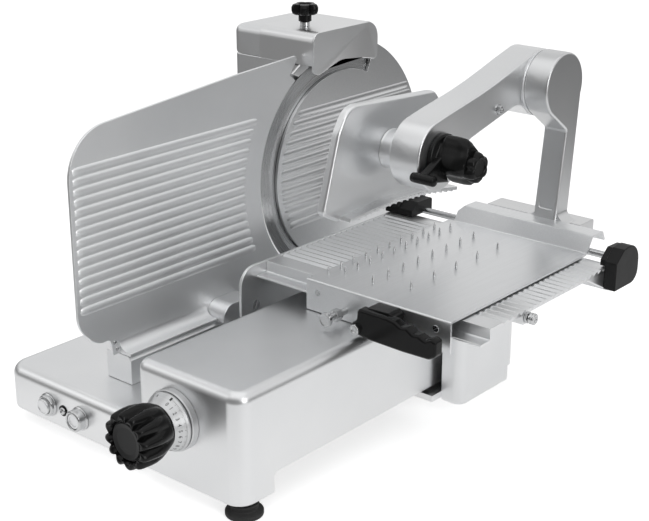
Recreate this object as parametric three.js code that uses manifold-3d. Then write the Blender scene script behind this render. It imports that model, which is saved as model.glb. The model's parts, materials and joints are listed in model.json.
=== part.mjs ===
// A vertical meat slicer with a sliding carriage, built from its separate pieces.
// Millimetres: x to the right, y away from the operator, z up.
// Places are measured from the housing's front right bottom corner; the last lines centre the whole.
import * as THREE from 'three';
import { mergeVertices } from 'three/addons/utils/BufferGeometryUtils.js';
import Module from 'manifold-3d';

const wasm = await Module();
wasm.setup();

// Clearances
const GAP = 0.3;
const RUNNING = 0.6;
const THROUGH = 1;

// Drive housing
const HOUSING_WIDTH = 157;
const HOUSING_DEPTH = 505;
const HOUSING_HEIGHT = 130;
const HOUSING_CORNER = 20;
const HOUSING_EDGE = 12;
const CASTING_WALL = 5;
const SKIRT_HEIGHT = 24;
const SKIRT_START = 52;

// Base slab
const SLAB_WIDTH = 236;
const SLAB_DEPTH = 600;
const SLAB_HEIGHT = 56;
const SLAB_CORNER = 26;
const SLAB_EDGE = 12;
const BOTTOM_PLATE = 2;
const BOTTOM_MARGIN = 8;

// Feet
const FOOT_HEIGHT = 16;
const FOOT_PAD = 6;
const FOOT_RADIUS = 21;
const FOOT_NECK = 13;
const FOOT_TOP = 16.5;
const FOOT_INSET = 19;
const FOOT_INSET_LEFT = 45;
const BOSS_RADIUS = 14;
const BOSS_HEIGHT = 28;

// Start and stop buttons, pilot lamp and power inlet
const BUTTON_HEIGHT = 25;
const START_ACROSS = -312;
const STOP_ACROSS = -255.5;
const LAMP_ACROSS = -286;
const BEZEL_RADIUS = 14.5;
const START_BEZEL = 7;
const STOP_BEZEL = 12.5;
const BUTTON_RADIUS = 9.5;
const START_PROUD = 10.5;
const STOP_PROUD = 11.5;
const BUTTON_SUNK = 14;
const LAMP_RADIUS = 5;
const INLET_ACROSS = -300;
const INLET_RADIUS = 12;
const INLET_LENGTH = 9;
const INLET_BORE = 4;

// Blade, its shaft, cover and guard
const BLADE_Y = 450;
const BLADE_Z = 233;
const BLADE_RADIUS = 150;
const BLADE_FACE = -243.7;
const BLADE_THICKNESS = 2.8;
const BLADE_BEVEL = 13;
const SHAFT_RADIUS = 12;
const SHAFT_FLANGE = 30;
const SHAFT_FLANGE_THICKNESS = 4;
const SHAFT_LENGTH = 48;
const BEARING_RADIUS = 22;
const BEARING_LENGTH = 14;
const COVER_RADIUS = 127;
const COVER_THICKNESS = 4;
const GUARD_RADIUS = 167;
const GUARD_WIDTH = 13;
const GUARD_UPPER = 66;
const GUARD_LOWER = -65;
const GUARD_ARM = 20;
const GUARD_ARM_OFFSET = 107;
const GUARD_ARM_LAP = 30;
const FLUTE_PITCH = 12;
const FLUTE_COUNT = 13;
const FLUTE_TOP = 317;
const FLUTE_HALF = 3.6;
const FLUTE_PROUD = 1.3;

// Tower, motor and belt
const TOWER_LEFT = -362;
const TOWER_RIGHT = -262;
const TOWER_BEFORE_BLADE = 74;
const TOWER_BEHIND_BLADE = 50;
const TOWER_TOP = 378;
const TOWER_CORNER = 10;
const MOTOR_OFFSET = 12;
const MOTOR_Z = 115;
const MOTOR_RADIUS = 48;
const MOTOR_LENGTH = 50;
const MOTOR_SHAFT = 8;
const MOTOR_PULLEY = 18;
const BLADE_PULLEY = 34;
const PULLEY_WIDTH = 14;
const BELT_THICKNESS = 3;
const PULLEY_FACE = -271;

// Sharpener
const SHARPENER_RIGHT = -222;
const SHARPENER_OVERHANG = 2;
const SHARPENER_SIDE = 4;
const SHARPENER_LIFT = 3;
const SHARPENER_HEIGHT = 39;
const SHARPENER_EDGE = 11;
const SHARPENER_WALL = 3;
const SHARPENER_STEP_X = -313;
const SHARPENER_STEP = 4.5;
const SHARPENER_FLAP = 15;
const SHARPENER_ARCH = 4;
const KNOB_X = -266;
const KNOB_OFFSET = 42;
const KNOB_STEM = 4;
const KNOB_STAR = 13;
const KNOB_LOBE = 6;
const KNOB_LOBES = 5;
const KNOB_RISE = 13;
const KNOB_THICKNESS = 17;
const KNOB_COLLAR = 8.5;
const STONE_RADIUS = 15;
const STONE_THICKNESS = 8;
const STONE_SPREAD = 22;
const STONE_SPINDLE = 3;
const STONE_BORE = 30;
const BRACKET_FRONT_ROOM = 24;
const BRACKET_REAR_ROOM = 20;

// Gauge plate, its beam and its guide
const PLATE_FACE = -244;
const PLATE_THICKNESS = 3;
const PLATE_FRONT = -3.5;
const PLATE_LOW = 112;
const PLATE_LOW_START = 16;
const PLATE_LOW_RISE = 139;
const PLATE_LOW_ROUND = 34;
const PLATE_CORNER_Z = 363;
const PLATE_CORNER_ROUND = 58;
const PLATE_PEAK_GAP = 2;
const PLATE_PEAK_Z = 391.5;
const PLATE_MID_Y = 255;
const PLATE_MID_Z = 385;
const PLATE_CUTOUT = 3;
const PLATE_NOTCH_ALONG = 96;
const PLATE_NOTCH_UP = 135.5;
const PLATE_TAB_REACH = 8;
const PLATE_FOOT_RADIUS = 12;
const PLATE_FOOT_WIDTH = 18;
const PLATE_FOOT_RISE = 4;
const RIB_COUNT = 15;
const RIB_BOTTOM = 159;
const RIB_PITCH = 11.57;
const RIB_START = 1;
const RIB_END_RADIUS = 180;
const RIB_HALF = 3.4;
const RIB_PROUD = 1.3;
const BEAM_LEFT = -268;
const BEAM_RIGHT = -226;
const BEAM_FRONT = 55;
const BEAM_BEFORE_BLADE = 112;
const BEAM_TOP = 91.5;
const BEAM_WALL = 4;
const BEAM_CHAMFER = 5;
const GUIDE_FRONT = 197;
const GUIDE_REAR = 250;
const GUIDE_RIGHT = -215;
const GUIDE_TOP = 113;
const GUIDE_ROUND = 18;
const GAUGE_TRAVEL = 14;
const PUSH_ROD_RADIUS = 5;
const PUSH_ROD_Y = 223;
const CARRIER_WIDTH = 14;
const CARRIER_DEPTH = 34;

// Thickness dial, knob, spindle and cam
const DIAL_X = -94;
const DIAL_Z = 78;
const INDEX_RADIUS = 35;
const INDEX_DEPTH = 9;
const DIAL_RADIUS = 33.5;
const DIAL_NECK = 25.5;
const DIAL_DEPTH = 17;
const THICKNESS_KNOB_RADIUS = 29;
const THICKNESS_KNOB_LENGTH = 49;
const THICKNESS_LOBES = 12;
const THICKNESS_LOBE_RADIUS = 5;
const SPINDLE_RADIUS = 6;
const SPINDLE_END = 262;
const CAM_RADIUS = 30;
const CAM_WIDTH = 16;
const CAM_TURN = 270;

// Carriage
const RAIL_X = -36;
const RAIL_Z = 40;
const RAIL_RADIUS = 10;
const BEARING_BLOCK_WIDTH = 30;
const BEARING_BLOCK_FRONT = 335;
const BEARING_BLOCK_REAR = 435;
const BEARING_BLOCK_TOP = 60;
const TONGUE_FRONT = 322;
const TONGUE_REAR = 436;
const TONGUE_BOTTOM = 10;
const TONGUE_THICKNESS = 8;
const APRON_LEFT = 8;
const APRON_RIGHT = 38;
const APRON_FRONT = 343;
const APRON_REAR = 457;
const APRON_BOTTOM = 3;
const APRON_CORNER = 14;
const APRON_STEP = 14;
const APRON_STEP_HEIGHT = 25;
const TABLE_LEFT = -190;
const TABLE_RIGHT = 137;
const TABLE_FRONT = 248;
const TABLE_REAR = 508;
const TABLE_TOP = 165;
const TABLE_THICKNESS = 5;
const TABLE_WEB = 3;
const TABLE_WEB_BOTTOM = 148.5;
const TABLE_LIP = 18;
const TABLE_REAR_WEB = 6;
const TABLE_REAR_BOTTOM = 133;
const TABLE_EAR = 20;
const TABLE_EAR_REAR = 523;
const TABLE_EAR_BOTTOM = 129;
const TOOTH_START = 270;
const TOOTH_END = 494;
const TOOTH_PITCH = 11.2;
const TOOTH_DEPTH = 3.2;
const END_PLATE = 4;
const END_PLATE_FRONT = 203;
const END_PLATE_BOTTOM = 100;
const END_PLATE_ROUND = 24;
const ROLLER_RADIUS = 12;
const ROLLER_WIDTH = 14;
const ROLLER_RIGHT = -128;
const ROLLER_FRONT_Y = 300;
const ROLLER_REAR_Y = 465;
const ROLLER_PIN = 3;
const ROLLER_CHEEK = 5;
const ROD_Y = 521;
const ROD_Z = 169.5;
const ROD_RADIUS = 4.5;
const ROD_LEFT = -185;
const ROD_RIGHT = 152;
const LEFT_BLOCK_LEFT = -200;
const LEFT_BLOCK_RIGHT = -155;
const LEFT_BLOCK_FRONT = 495;
const LEFT_BLOCK_REAR = 565;
const LEFT_BLOCK_BOTTOM = 158;
const LEFT_BLOCK_TOP = 190;
const RIGHT_BLOCK_WIDTH = 16;
const RIGHT_BLOCK_NOSE = 8;
const RIGHT_BLOCK_FRONT = 490;
const RIGHT_BLOCK_REAR = 545;
const RIGHT_BLOCK_BOTTOM = 139;
const RIGHT_BLOCK_TOP = 192;
const EYE_SCREW_Y = 320;
const EYE_SCREW_RADIUS = 3;
const EYE_SCREW_HEAD = 7;
const EYE_SCREW_END = 149;
const EYE_LUG = 17;

// Product plate, clamp screw and grip lever
const SHEET = 2.5;
const PRODUCT_LEFT = -107;
const PRODUCT_RIGHT = 100;
const PRODUCT_FRONT = 227;
const PRODUCT_TOP = 169;
const PRODUCT_CREASE = 511;
const FLANGE_BOTTOM = 131;
const FENCE_LEFT = -103;
const FENCE_LEAN = 13;
const FENCE_RISE = 20;
const FENCE_LIP = 25;
const FENCE_HOOK = 12;
const FENCE_HOOK_LEAN = 6;
const SPIKE_HEIGHT = 10;
const SPIKE_RADIUS = 1.5;
const SPIKE_SIDES = 5;
const CLAMP_X = -48;
const CLAMP_Z = 143;
const CLAMP_RADIUS = 4;
const CLAMP_FRONT = 190;
const CLAMP_REAR = 245;
const CLAMP_DISC = 8.5;
const CLAMP_NUT = 7.5;
const LEVER_FRONT = 198;
const LEVER_THICKNESS = 13;
const LEVER_PIVOT_X = -8;
const LEVER_PIVOT_Z = 141;
const LEVER_PIVOT_RADIUS = 4;
const LEVER_PIVOT_HEAD = 6;
const LEVER_ROOT_RIGHT = 38;

// Arm bracket, arm, pusher and clamp knob
const BRACKET_LEFT = -78;
const BRACKET_RIGHT = 62;
const BRACKET_TOP = 186;
const BRACKET_REAR = 580;
const BRACKET_SADDLE = 514;
const POST_LEFT = 1;
const POST_RIGHT = 33;
const POST_FRONT = 545;
const POST_REAR = 575;
const HEAD_Y = 551;
const HEAD_Z = 361;
const HEAD_RADIUS = 42;
const NOTCH_Y = 561;
const NOTCH_Z = 303;
const ARM_THICKNESS = 42;
const ARM_RIGHT = -3;
const BOSS_Y = 342.5;
const BOSS_Z = 311;
const ARM_BELOW = 7;
const ARM_HOLLOW_Y = 417;
const ARM_HOLLOW = 3.5;
const PIN_RADIUS = 10;
const PUSHER_HUB_RADIUS = 23.5;
const PUSHER_HUB_LENGTH = 29;
const PUSHER_SHAFT_RADIUS = 9;
const PUSHER_SHEET = 3;
const PUSHER_RIM = 16;
const CLAMP_KNOB_RADIUS = 25;
const CLAMP_KNOB_LENGTH = 55;
const CLAMP_KNOB_HEAD = 18;
const CLAMP_KNOB_HEAD_DEPTH = 15;
const CLAMP_KNOB_LOBE = 9;
const CLAMP_PEG_RADIUS = 6;
const CLAMP_PEG_OFFSET = 49.5;
const CLAMP_PEG_ANGLE = 197.5;
const CLAMP_PEG_LENGTH = 34;

// Places that follow from the sizes above
const SLAB_RIGHT = -HOUSING_WIDTH - GAP;
const SLAB_LEFT = SLAB_RIGHT - SLAB_WIDTH + GAP;
const ON_SLAB = SLAB_HEIGHT + GAP;
const BLADE_BACK = BLADE_FACE - BLADE_THICKNESS;
const BLADE_CENTRE = [BLADE_Y, BLADE_Z];
const MOTOR_CENTRE = [BLADE_Y - MOTOR_OFFSET, MOTOR_Z];
const TOWER_FRONT = BLADE_Y - TOWER_BEFORE_BLADE;
const TOWER_REAR = BLADE_Y + TOWER_BEHIND_BLADE;
const SHARPENER_FRONT = TOWER_FRONT - SHARPENER_OVERHANG;
const SHARPENER_REAR = TOWER_REAR + SHARPENER_OVERHANG;
const SHARPENER_LEFT = TOWER_LEFT - SHARPENER_SIDE;
const SHARPENER_BOTTOM = TOWER_TOP + SHARPENER_LIFT;
const SHARPENER_TOP = SHARPENER_BOTTOM + SHARPENER_HEIGHT;
const KNOB_Y = BLADE_Y - KNOB_OFFSET;
const PLATE_PEAK_Y = SHARPENER_FRONT - PLATE_PEAK_GAP;
const PLATE_NOTCH_Y = BLADE_Y - PLATE_NOTCH_ALONG;
const PLATE_NOTCH_Z = BLADE_Z + PLATE_NOTCH_UP;
const BEAM_REAR = BLADE_Y - BEAM_BEFORE_BLADE;
const HEAD_CENTRE = [HEAD_Y, HEAD_Z];
const BOSS_CENTRE = [BOSS_Y, BOSS_Z];
const DIAL_CENTRE = [DIAL_X, DIAL_Z];
const COVER_BACK = BLADE_FACE + RUNNING;
const COVER_FACE = COVER_BACK + COVER_THICKNESS;
const DIAL_BACK = -INDEX_DEPTH - RUNNING;
const KNOB_BACK = DIAL_BACK - DIAL_DEPTH;
const KNOB_FRONT = KNOB_BACK - THICKNESS_KNOB_LENGTH;
const TABLE_UNDER = TABLE_TOP - TABLE_THICKNESS;
const ROLLER_Z = HOUSING_HEIGHT + GAP + ROLLER_RADIUS;
const PRODUCT_UNDER = PRODUCT_TOP - SHEET;
const FENCE_TOP = PRODUCT_TOP + FENCE_RISE;
const ARM_LEFT = ARM_RIGHT - ARM_THICKNESS;
const PUSHER_FACE = ARM_LEFT - PUSHER_HUB_LENGTH;
const TONGUE_TOP = TONGUE_BOTTOM + TONGUE_THICKNESS;

// Materials
const finish = (color, metalness, roughness) =>
  new THREE.MeshStandardMaterial({ color, metalness, roughness });
const castAluminium = finish(0xd3d5d7, 0.8, 0.42);
const polishedSteel = finish(0xc9ccd0, 0.95, 0.24);
const brushedSteel = finish(0xbfc2c6, 0.92, 0.34);
const blackPlastic = finish(0x161617, 0, 0.32);
const rubber = finish(0x1b1b1c, 0, 0.8);
const grindingStone = finish(0x8a8378, 0, 0.95);
const brass = finish(0xb8954e, 0.9, 0.35);

// A point at an angle in degrees round a centre
function polar([u, v], radius, angle) {
  const turn = THREE.MathUtils.degToRad(angle);
  return [u + radius * Math.cos(turn), v + radius * Math.sin(turn)];
}

// Points along an arc, both ends included
function arc(centre, radius, from, to, degreesPerStep = 15) {
  const steps = Math.max(2, Math.ceil(Math.abs(to - from) / degreesPerStep));
  return Array.from({ length: steps + 1 }, (_, i) => polar(centre, radius, from + ((to - from) * i) / steps));
}

// The arc that replaces one sharp corner
function roundCorner(before, here, after, radius) {
  const point = new THREE.Vector2(...here);
  const back = new THREE.Vector2(...before).sub(point).normalize();
  const ahead = new THREE.Vector2(...after).sub(point).normalize();
  const half = Math.acos(THREE.MathUtils.clamp(back.dot(ahead), -1, 1)) / 2;
  const middle = back.clone().add(ahead).normalize().multiplyScalar(radius / Math.sin(half)).add(point);
  const turnOf = (towards) => {
    const touch = towards.clone().multiplyScalar(radius / Math.tan(half)).add(point).sub(middle);
    return THREE.MathUtils.radToDeg(touch.angle());
  };
  const start = turnOf(back);
  const sweep = ((turnOf(ahead) - start + 540) % 360) - 180;
  return arc([middle.x, middle.y], radius, start, start + sweep, 22);
}

// Outline points from corners given as [u, v, rounding]
function rounded(corners) {
  const count = corners.length;
  return corners.flatMap(([u, v, radius = 0], i) => {
    const before = corners[(i + count - 1) % count].slice(0, 2);
    const after = corners[(i + 1) % count].slice(0, 2);
    return radius > 0 ? roundCorner(before, [u, v], after, radius) : [[u, v]];
  });
}

const rectangle = ([u0, u1], [v0, v1], radius = 0) =>
  rounded([[u0, v0, radius], [u1, v0, radius], [u1, v1, radius], [u0, v1, radius]]);

const toShape = (points) => new THREE.Shape(points.map(([u, v]) => new THREE.Vector2(u, v)));

// A closed geometry as a solid with its faces pointing out
function solid(geometry) {
  geometry.deleteAttribute('normal');
  geometry.deleteAttribute('uv');
  const merged = mergeVertices(geometry, 1e-4);
  const corner = (i) => new THREE.Vector3().fromBufferAttribute(merged.attributes.position, i);
  const triangles = [];
  let volume = 0;
  for (let i = 0; i < merged.index.count; i += 3) {
    const [a, b, c] = [0, 1, 2].map((step) => merged.index.getX(i + step));
    if (a !== b && b !== c && c !== a) {
      triangles.push(a, b, c);
      volume += corner(a).dot(corner(b).cross(corner(c)));
    }
  }
  const triVerts = Uint32Array.from(volume < 0 ? triangles.reverse() : triangles);
  const vertProperties = Float32Array.from(merged.attributes.position.array);
  return new wasm.Manifold(new wasm.Mesh({ numProp: 3, vertProperties, triVerts }));
}

const join = (first, ...others) => others.reduce((whole, other) => whole.add(other), first);
const cut = (first, ...tools) => tools.reduce((rest, tool) => rest.subtract(tool), first);

const X = new THREE.Vector3(1, 0, 0);
const Y = new THREE.Vector3(0, 1, 0);
const Z = new THREE.Vector3(0, 0, 1);

// An outline pushed along an axis; it is drawn in (y, z), (x, z) or (x, y)
function prism(axis, points, [from, to], bevel = 0, bevelSegments = 1) {
  const geometry = new THREE.ExtrudeGeometry(toShape(points), {
    depth: to - from - 2 * bevel,
    bevelEnabled: bevel > 0,
    bevelSize: bevel,
    bevelThickness: bevel,
    bevelOffset: -bevel,
    bevelSegments,
  });
  geometry.translate(0, 0, bevel);
  if (axis === 'x') geometry.applyMatrix4(new THREE.Matrix4().makeBasis(Y, Z, X)).translate(from, 0, 0);
  if (axis === 'y') {
    geometry.applyMatrix4(new THREE.Matrix4().makeBasis(X, Z, Y.clone().negate())).translate(0, to, 0);
  }
  if (axis === 'z') geometry.translate(0, 0, from);
  return solid(geometry);
}

// A turned solid; its profile is [radius, place along the axis]
function turned(axis, [u, v], profile, segments = 18) {
  const geometry = new THREE.LatheGeometry(profile.map(([r, along]) => new THREE.Vector2(r, along)), segments);
  if (axis === 'x') geometry.applyMatrix4(new THREE.Matrix4().makeBasis(Z, X, Y)).translate(0, u, v);
  if (axis === 'y') geometry.translate(u, 0, v);
  if (axis === 'z') geometry.applyMatrix4(new THREE.Matrix4().makeBasis(Y, Z, X)).translate(u, v, 0);
  return solid(geometry);
}

const rod = (axis, centre, radius, [from, to], segments = 18) =>
  turned(axis, centre, [[0, from], [radius, from], [radius, to], [0, to]], segments);

const ring = (axis, centre, [inner, outer], [from, to], segments = 18) =>
  turned(axis, centre, [[inner, from], [outer, from], [outer, to], [inner, to], [inner, from]], segments);

const box = (across, along, [bottom, top]) => prism('z', rectangle(across, along), [bottom, top]);

// A casting with rounded upright corners and a rounded top edge, flat below
function casting(points, [bottom, top], edge) {
  const whole = prism('z', points, [bottom - 3 * edge, top], edge, 2);
  const below = new THREE.Box2().setFromPoints(toShape(points).getPoints());
  const tool = box(
    [below.min.x - THROUGH, below.max.x + THROUGH],
    [below.min.y - THROUGH, below.max.y + THROUGH],
    [bottom - 3 * edge - THROUGH, bottom],
  );
  return cut(whole, tool);
}

// The outline of a belt round two wheels
function aroundWheels([centreA, radiusA], [centreB, radiusB]) {
  const span = new THREE.Vector2(centreB[0] - centreA[0], centreB[1] - centreA[1]);
  const heading = THREE.MathUtils.radToDeg(span.angle());
  const lead = THREE.MathUtils.radToDeg(Math.acos((radiusA - radiusB) / span.length()));
  return [
    ...arc(centreA, radiusA, heading + lead, heading + 360 - lead),
    ...arc(centreB, radiusB, heading - lead, heading + lead),
  ];
}

// Feet stand at these places
const footPlaces = {
  foot_front_right: [-14, FOOT_INSET],
  foot_rear_right: [-17, HOUSING_DEPTH - FOOT_INSET],
  foot_front_left: [SLAB_LEFT + FOOT_INSET_LEFT, FOOT_INSET_LEFT + 17],
  foot_rear_left: [SLAB_LEFT + FOOT_INSET_LEFT, SLAB_DEPTH - FOOT_INSET_LEFT],
};

const boss = (place) => rod('z', place, BOSS_RADIUS, [0, BOSS_HEIGHT], 12);

function driveHousing() {
  const outside = rounded([
    [-HOUSING_WIDTH, 0, HOUSING_EDGE + 2],
    [0, 0, HOUSING_CORNER],
    [0, HOUSING_DEPTH, HOUSING_CORNER],
    [-HOUSING_WIDTH, HOUSING_DEPTH, HOUSING_EDGE + 2],
  ]);
  const block = casting(outside, [0, HOUSING_HEIGHT], HOUSING_EDGE);
  const hollow = box(
    [-HOUSING_WIDTH + CASTING_WALL, -CASTING_WALL],
    [CASTING_WALL, HOUSING_DEPTH - CASTING_WALL],
    [-THROUGH, HOUSING_HEIGHT - CASTING_WALL],
  );
  const bosses = join(boss(footPlaces.foot_front_right), boss(footPlaces.foot_rear_right)).intersect(block);
  const skirt = box(
    [-CASTING_WALL - THROUGH, THROUGH],
    [SKIRT_START, HOUSING_DEPTH - 2 * HOUSING_CORNER],
    [-THROUGH, SKIRT_HEIGHT],
  );
  const spindleHole = rod('y', DIAL_CENTRE, SPINDLE_RADIUS + GAP, [-THROUGH, CASTING_WALL + THROUGH]);
  const rodHole = rod(
    'x', [PUSH_ROD_Y, DIAL_Z], PUSH_ROD_RADIUS + RUNNING,
    [-HOUSING_WIDTH - THROUGH, -HOUSING_WIDTH + CASTING_WALL + THROUGH], 16,
  );
  return cut(join(cut(block, hollow), bosses), skirt, spindleHole, rodHole);
}

function baseSlab() {
  const outside = rounded([
    [SLAB_LEFT, 0, SLAB_CORNER],
    [SLAB_RIGHT, 0, 0],
    [SLAB_RIGHT, SLAB_DEPTH, SLAB_CORNER],
    [SLAB_LEFT, SLAB_DEPTH, SLAB_CORNER],
  ]);
  const block = casting(outside, [0, SLAB_HEIGHT], SLAB_EDGE);
  const hollow = prism(
    'z',
    rectangle(
      [SLAB_LEFT + CASTING_WALL, SLAB_RIGHT - CASTING_WALL],
      [CASTING_WALL, SLAB_DEPTH - CASTING_WALL],
      SLAB_CORNER - CASTING_WALL,
    ),
    [-THROUGH, SLAB_HEIGHT - CASTING_WALL],
  );
  const bosses = join(boss(footPlaces.foot_front_left), boss(footPlaces.foot_rear_left)).intersect(block);
  const webs = [footPlaces.foot_front_left, footPlaces.foot_rear_left].map(([x, y]) =>
    box([SLAB_LEFT + 2, x], [y - CASTING_WALL / 2, y + CASTING_WALL / 2], [2, BOSS_HEIGHT]));
  const wall = [-THROUGH, CASTING_WALL + THROUGH];
  const holes = [
    rod('y', [START_ACROSS, BUTTON_HEIGHT], BUTTON_RADIUS + RUNNING, wall, 20),
    rod('y', [STOP_ACROSS, BUTTON_HEIGHT], BUTTON_RADIUS + RUNNING, wall, 20),
    rod('y', [LAMP_ACROSS, BUTTON_HEIGHT], LAMP_RADIUS - 1 + GAP, wall, 16),
    rod('y', [INLET_ACROSS, BUTTON_HEIGHT], INLET_BORE + 2 + GAP,
      [SLAB_DEPTH - CASTING_WALL - THROUGH, SLAB_DEPTH + THROUGH], 16),
  ];
  return cut(join(cut(block, hollow), bosses, ...webs), ...holes);
}

function bottomPlate() {
  const [left, right] = [SLAB_LEFT + BOTTOM_MARGIN, -BOTTOM_MARGIN];
  const outline = rounded([
    [left, BOTTOM_MARGIN, SLAB_CORNER - BOTTOM_MARGIN],
    [right, BOTTOM_MARGIN, 4],
    [right, HOUSING_DEPTH - BOTTOM_MARGIN, 4],
    [SLAB_RIGHT - BOTTOM_MARGIN, HOUSING_DEPTH - BOTTOM_MARGIN, 0],
    [SLAB_RIGHT - BOTTOM_MARGIN, SLAB_DEPTH - BOTTOM_MARGIN, 4],
    [left, SLAB_DEPTH - BOTTOM_MARGIN, SLAB_CORNER - BOTTOM_MARGIN],
  ]);
  const plate = prism('z', outline, [-GAP - BOTTOM_PLATE, -GAP]);
  const holes = Object.values(footPlaces).map((place) =>
    rod('z', place, FOOT_TOP + RUNNING, [-GAP - BOTTOM_PLATE - THROUGH, THROUGH]));
  return cut(plate, ...holes);
}

const foot = (place) => turned('z', place, [
  [0, -FOOT_HEIGHT], [FOOT_RADIUS - 1, -FOOT_HEIGHT], [FOOT_RADIUS, -FOOT_HEIGHT + 1],
  [FOOT_RADIUS, -FOOT_HEIGHT + FOOT_PAD - 1], [FOOT_NECK, -FOOT_HEIGHT + FOOT_PAD + 2],
  [FOOT_TOP, -GAP - BOTTOM_PLATE], [FOOT_TOP, -GAP], [0, -GAP],
]);

const bezel = (across, depth) => ring(
  'y', [across, BUTTON_HEIGHT], [BUTTON_RADIUS + RUNNING, BEZEL_RADIUS], [-depth, -GAP]);

const button = (across, proud) => turned('y', [across, BUTTON_HEIGHT], [
  [0, -proud], [BUTTON_RADIUS - 1, -proud], [BUTTON_RADIUS, -proud + 1],
  [BUTTON_RADIUS, BUTTON_SUNK], [0, BUTTON_SUNK],
]);

const pilotLamp = () => turned('y', [LAMP_ACROSS, BUTTON_HEIGHT], [
  [0, -4], [LAMP_RADIUS - 2, -3], [LAMP_RADIUS, -GAP], [LAMP_RADIUS - 1, -GAP],
  [LAMP_RADIUS - 1, CASTING_WALL + 4], [0, CASTING_WALL + 4],
], 20);

const powerInlet = () => turned('y', [INLET_ACROSS, BUTTON_HEIGHT], [
  [INLET_BORE, SLAB_DEPTH - CASTING_WALL - 5], [INLET_BORE + 2, SLAB_DEPTH - CASTING_WALL - 5],
  [INLET_BORE + 2, SLAB_DEPTH + GAP], [INLET_RADIUS, SLAB_DEPTH + GAP],
  [INLET_RADIUS, SLAB_DEPTH + INLET_LENGTH / 2], [INLET_BORE + 3, SLAB_DEPTH + INLET_LENGTH],
  [INLET_BORE, SLAB_DEPTH + INLET_LENGTH], [INLET_BORE, SLAB_DEPTH - CASTING_WALL - 5],
], 20);

function tower() {
  const across = [TOWER_LEFT, TOWER_RIGHT];
  const along = [TOWER_FRONT, TOWER_REAR];
  const block = prism('z', rectangle(across, along, TOWER_CORNER), [ON_SLAB, TOWER_TOP]);
  const hollow = prism(
    'z',
    rectangle(
      across.map((x, i) => x + (i ? -CASTING_WALL : CASTING_WALL)),
      along.map((y, i) => y + (i ? -CASTING_WALL : CASTING_WALL)),
      TOWER_CORNER - CASTING_WALL,
    ),
    [ON_SLAB - THROUGH, TOWER_TOP - CASTING_WALL],
  );
  const bore = rod('x', BLADE_CENTRE, BEARING_RADIUS + GAP, [TOWER_RIGHT - 2 * CASTING_WALL, TOWER_RIGHT + THROUGH]);
  const motorHole = rod(
    'x', MOTOR_CENTRE, MOTOR_RADIUS / 2 + GAP, [TOWER_LEFT - THROUGH, TOWER_LEFT + CASTING_WALL + THROUGH]);
  return cut(block, hollow, bore, motorHole);
}

// The motor is flanged to the tower's left wall
function motor() {
  const left = TOWER_LEFT + CASTING_WALL + GAP;
  const body = turned('x', MOTOR_CENTRE, [
    [0, TOWER_LEFT], [MOTOR_RADIUS / 2, TOWER_LEFT], [MOTOR_RADIUS / 2, left], [MOTOR_RADIUS, left],
    [MOTOR_RADIUS, left + MOTOR_LENGTH], [MOTOR_SHAFT + RUNNING, left + MOTOR_LENGTH],
    [MOTOR_SHAFT + RUNNING, left + MOTOR_LENGTH / 2], [0, left + MOTOR_LENGTH / 2],
  ]);
  return body;
}

function motorPulley() {
  const shaftEnd = TOWER_LEFT + CASTING_WALL + GAP + MOTOR_LENGTH / 2 + RUNNING;
  return turned('x', MOTOR_CENTRE, [
    [0, shaftEnd], [MOTOR_SHAFT, shaftEnd], [MOTOR_SHAFT, PULLEY_FACE - PULLEY_WIDTH],
    [MOTOR_PULLEY, PULLEY_FACE - PULLEY_WIDTH], [MOTOR_PULLEY, PULLEY_FACE], [0, PULLEY_FACE],
  ]);
}

const bladePulley = () => ring(
  'x', BLADE_CENTRE, [SHAFT_RADIUS + GAP, BLADE_PULLEY], [PULLEY_FACE - PULLEY_WIDTH, PULLEY_FACE]);

function driveBelt() {
  const along = [PULLEY_FACE - PULLEY_WIDTH + 2, PULLEY_FACE - 2];
  const loop = (extra) => aroundWheels(
    [MOTOR_CENTRE, MOTOR_PULLEY + extra], [BLADE_CENTRE, BLADE_PULLEY + extra]);
  const inside = prism('x', loop(GAP), [along[0] - THROUGH, along[1] + THROUGH]);
  return cut(prism('x', loop(GAP + BELT_THICKNESS), along), inside);
}

const bladeShaft = () => turned('x', BLADE_CENTRE, [
  [0, BLADE_BACK - SHAFT_LENGTH], [SHAFT_RADIUS, BLADE_BACK - SHAFT_LENGTH],
  [SHAFT_RADIUS, BLADE_BACK - GAP - SHAFT_FLANGE_THICKNESS],
  [SHAFT_FLANGE, BLADE_BACK - GAP - SHAFT_FLANGE_THICKNESS], [SHAFT_FLANGE, BLADE_BACK - GAP],
  [SHAFT_RADIUS, BLADE_BACK - GAP], [SHAFT_RADIUS, BLADE_FACE], [0, BLADE_FACE],
]);

const bladeBearing = () => ring(
  'x', BLADE_CENTRE, [SHAFT_RADIUS + GAP, BEARING_RADIUS],
  [TOWER_RIGHT - CASTING_WALL - 2, TOWER_RIGHT - CASTING_WALL - 2 + BEARING_LENGTH]);

const blade = () => turned('x', BLADE_CENTRE, [
  [SHAFT_RADIUS + GAP, BLADE_BACK], [BLADE_RADIUS, BLADE_BACK], [BLADE_RADIUS, BLADE_BACK + 0.2],
  [BLADE_RADIUS - BLADE_BEVEL, BLADE_FACE], [SHAFT_RADIUS + GAP, BLADE_FACE],
  [SHAFT_RADIUS + GAP, BLADE_BACK],
], 60);

// A raised flute or rib, rounded by two chamfers, along y
function rib([from, to], z, half, [back, proud]) {
  const points = [[-half, 0], [-half * 0.45, proud], [half * 0.45, proud], [half, 0], [half, -1], [-half, -1]];
  return prism('y', points.map(([across, out]) => [back + out, z + across]), [from, to]);
}

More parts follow.
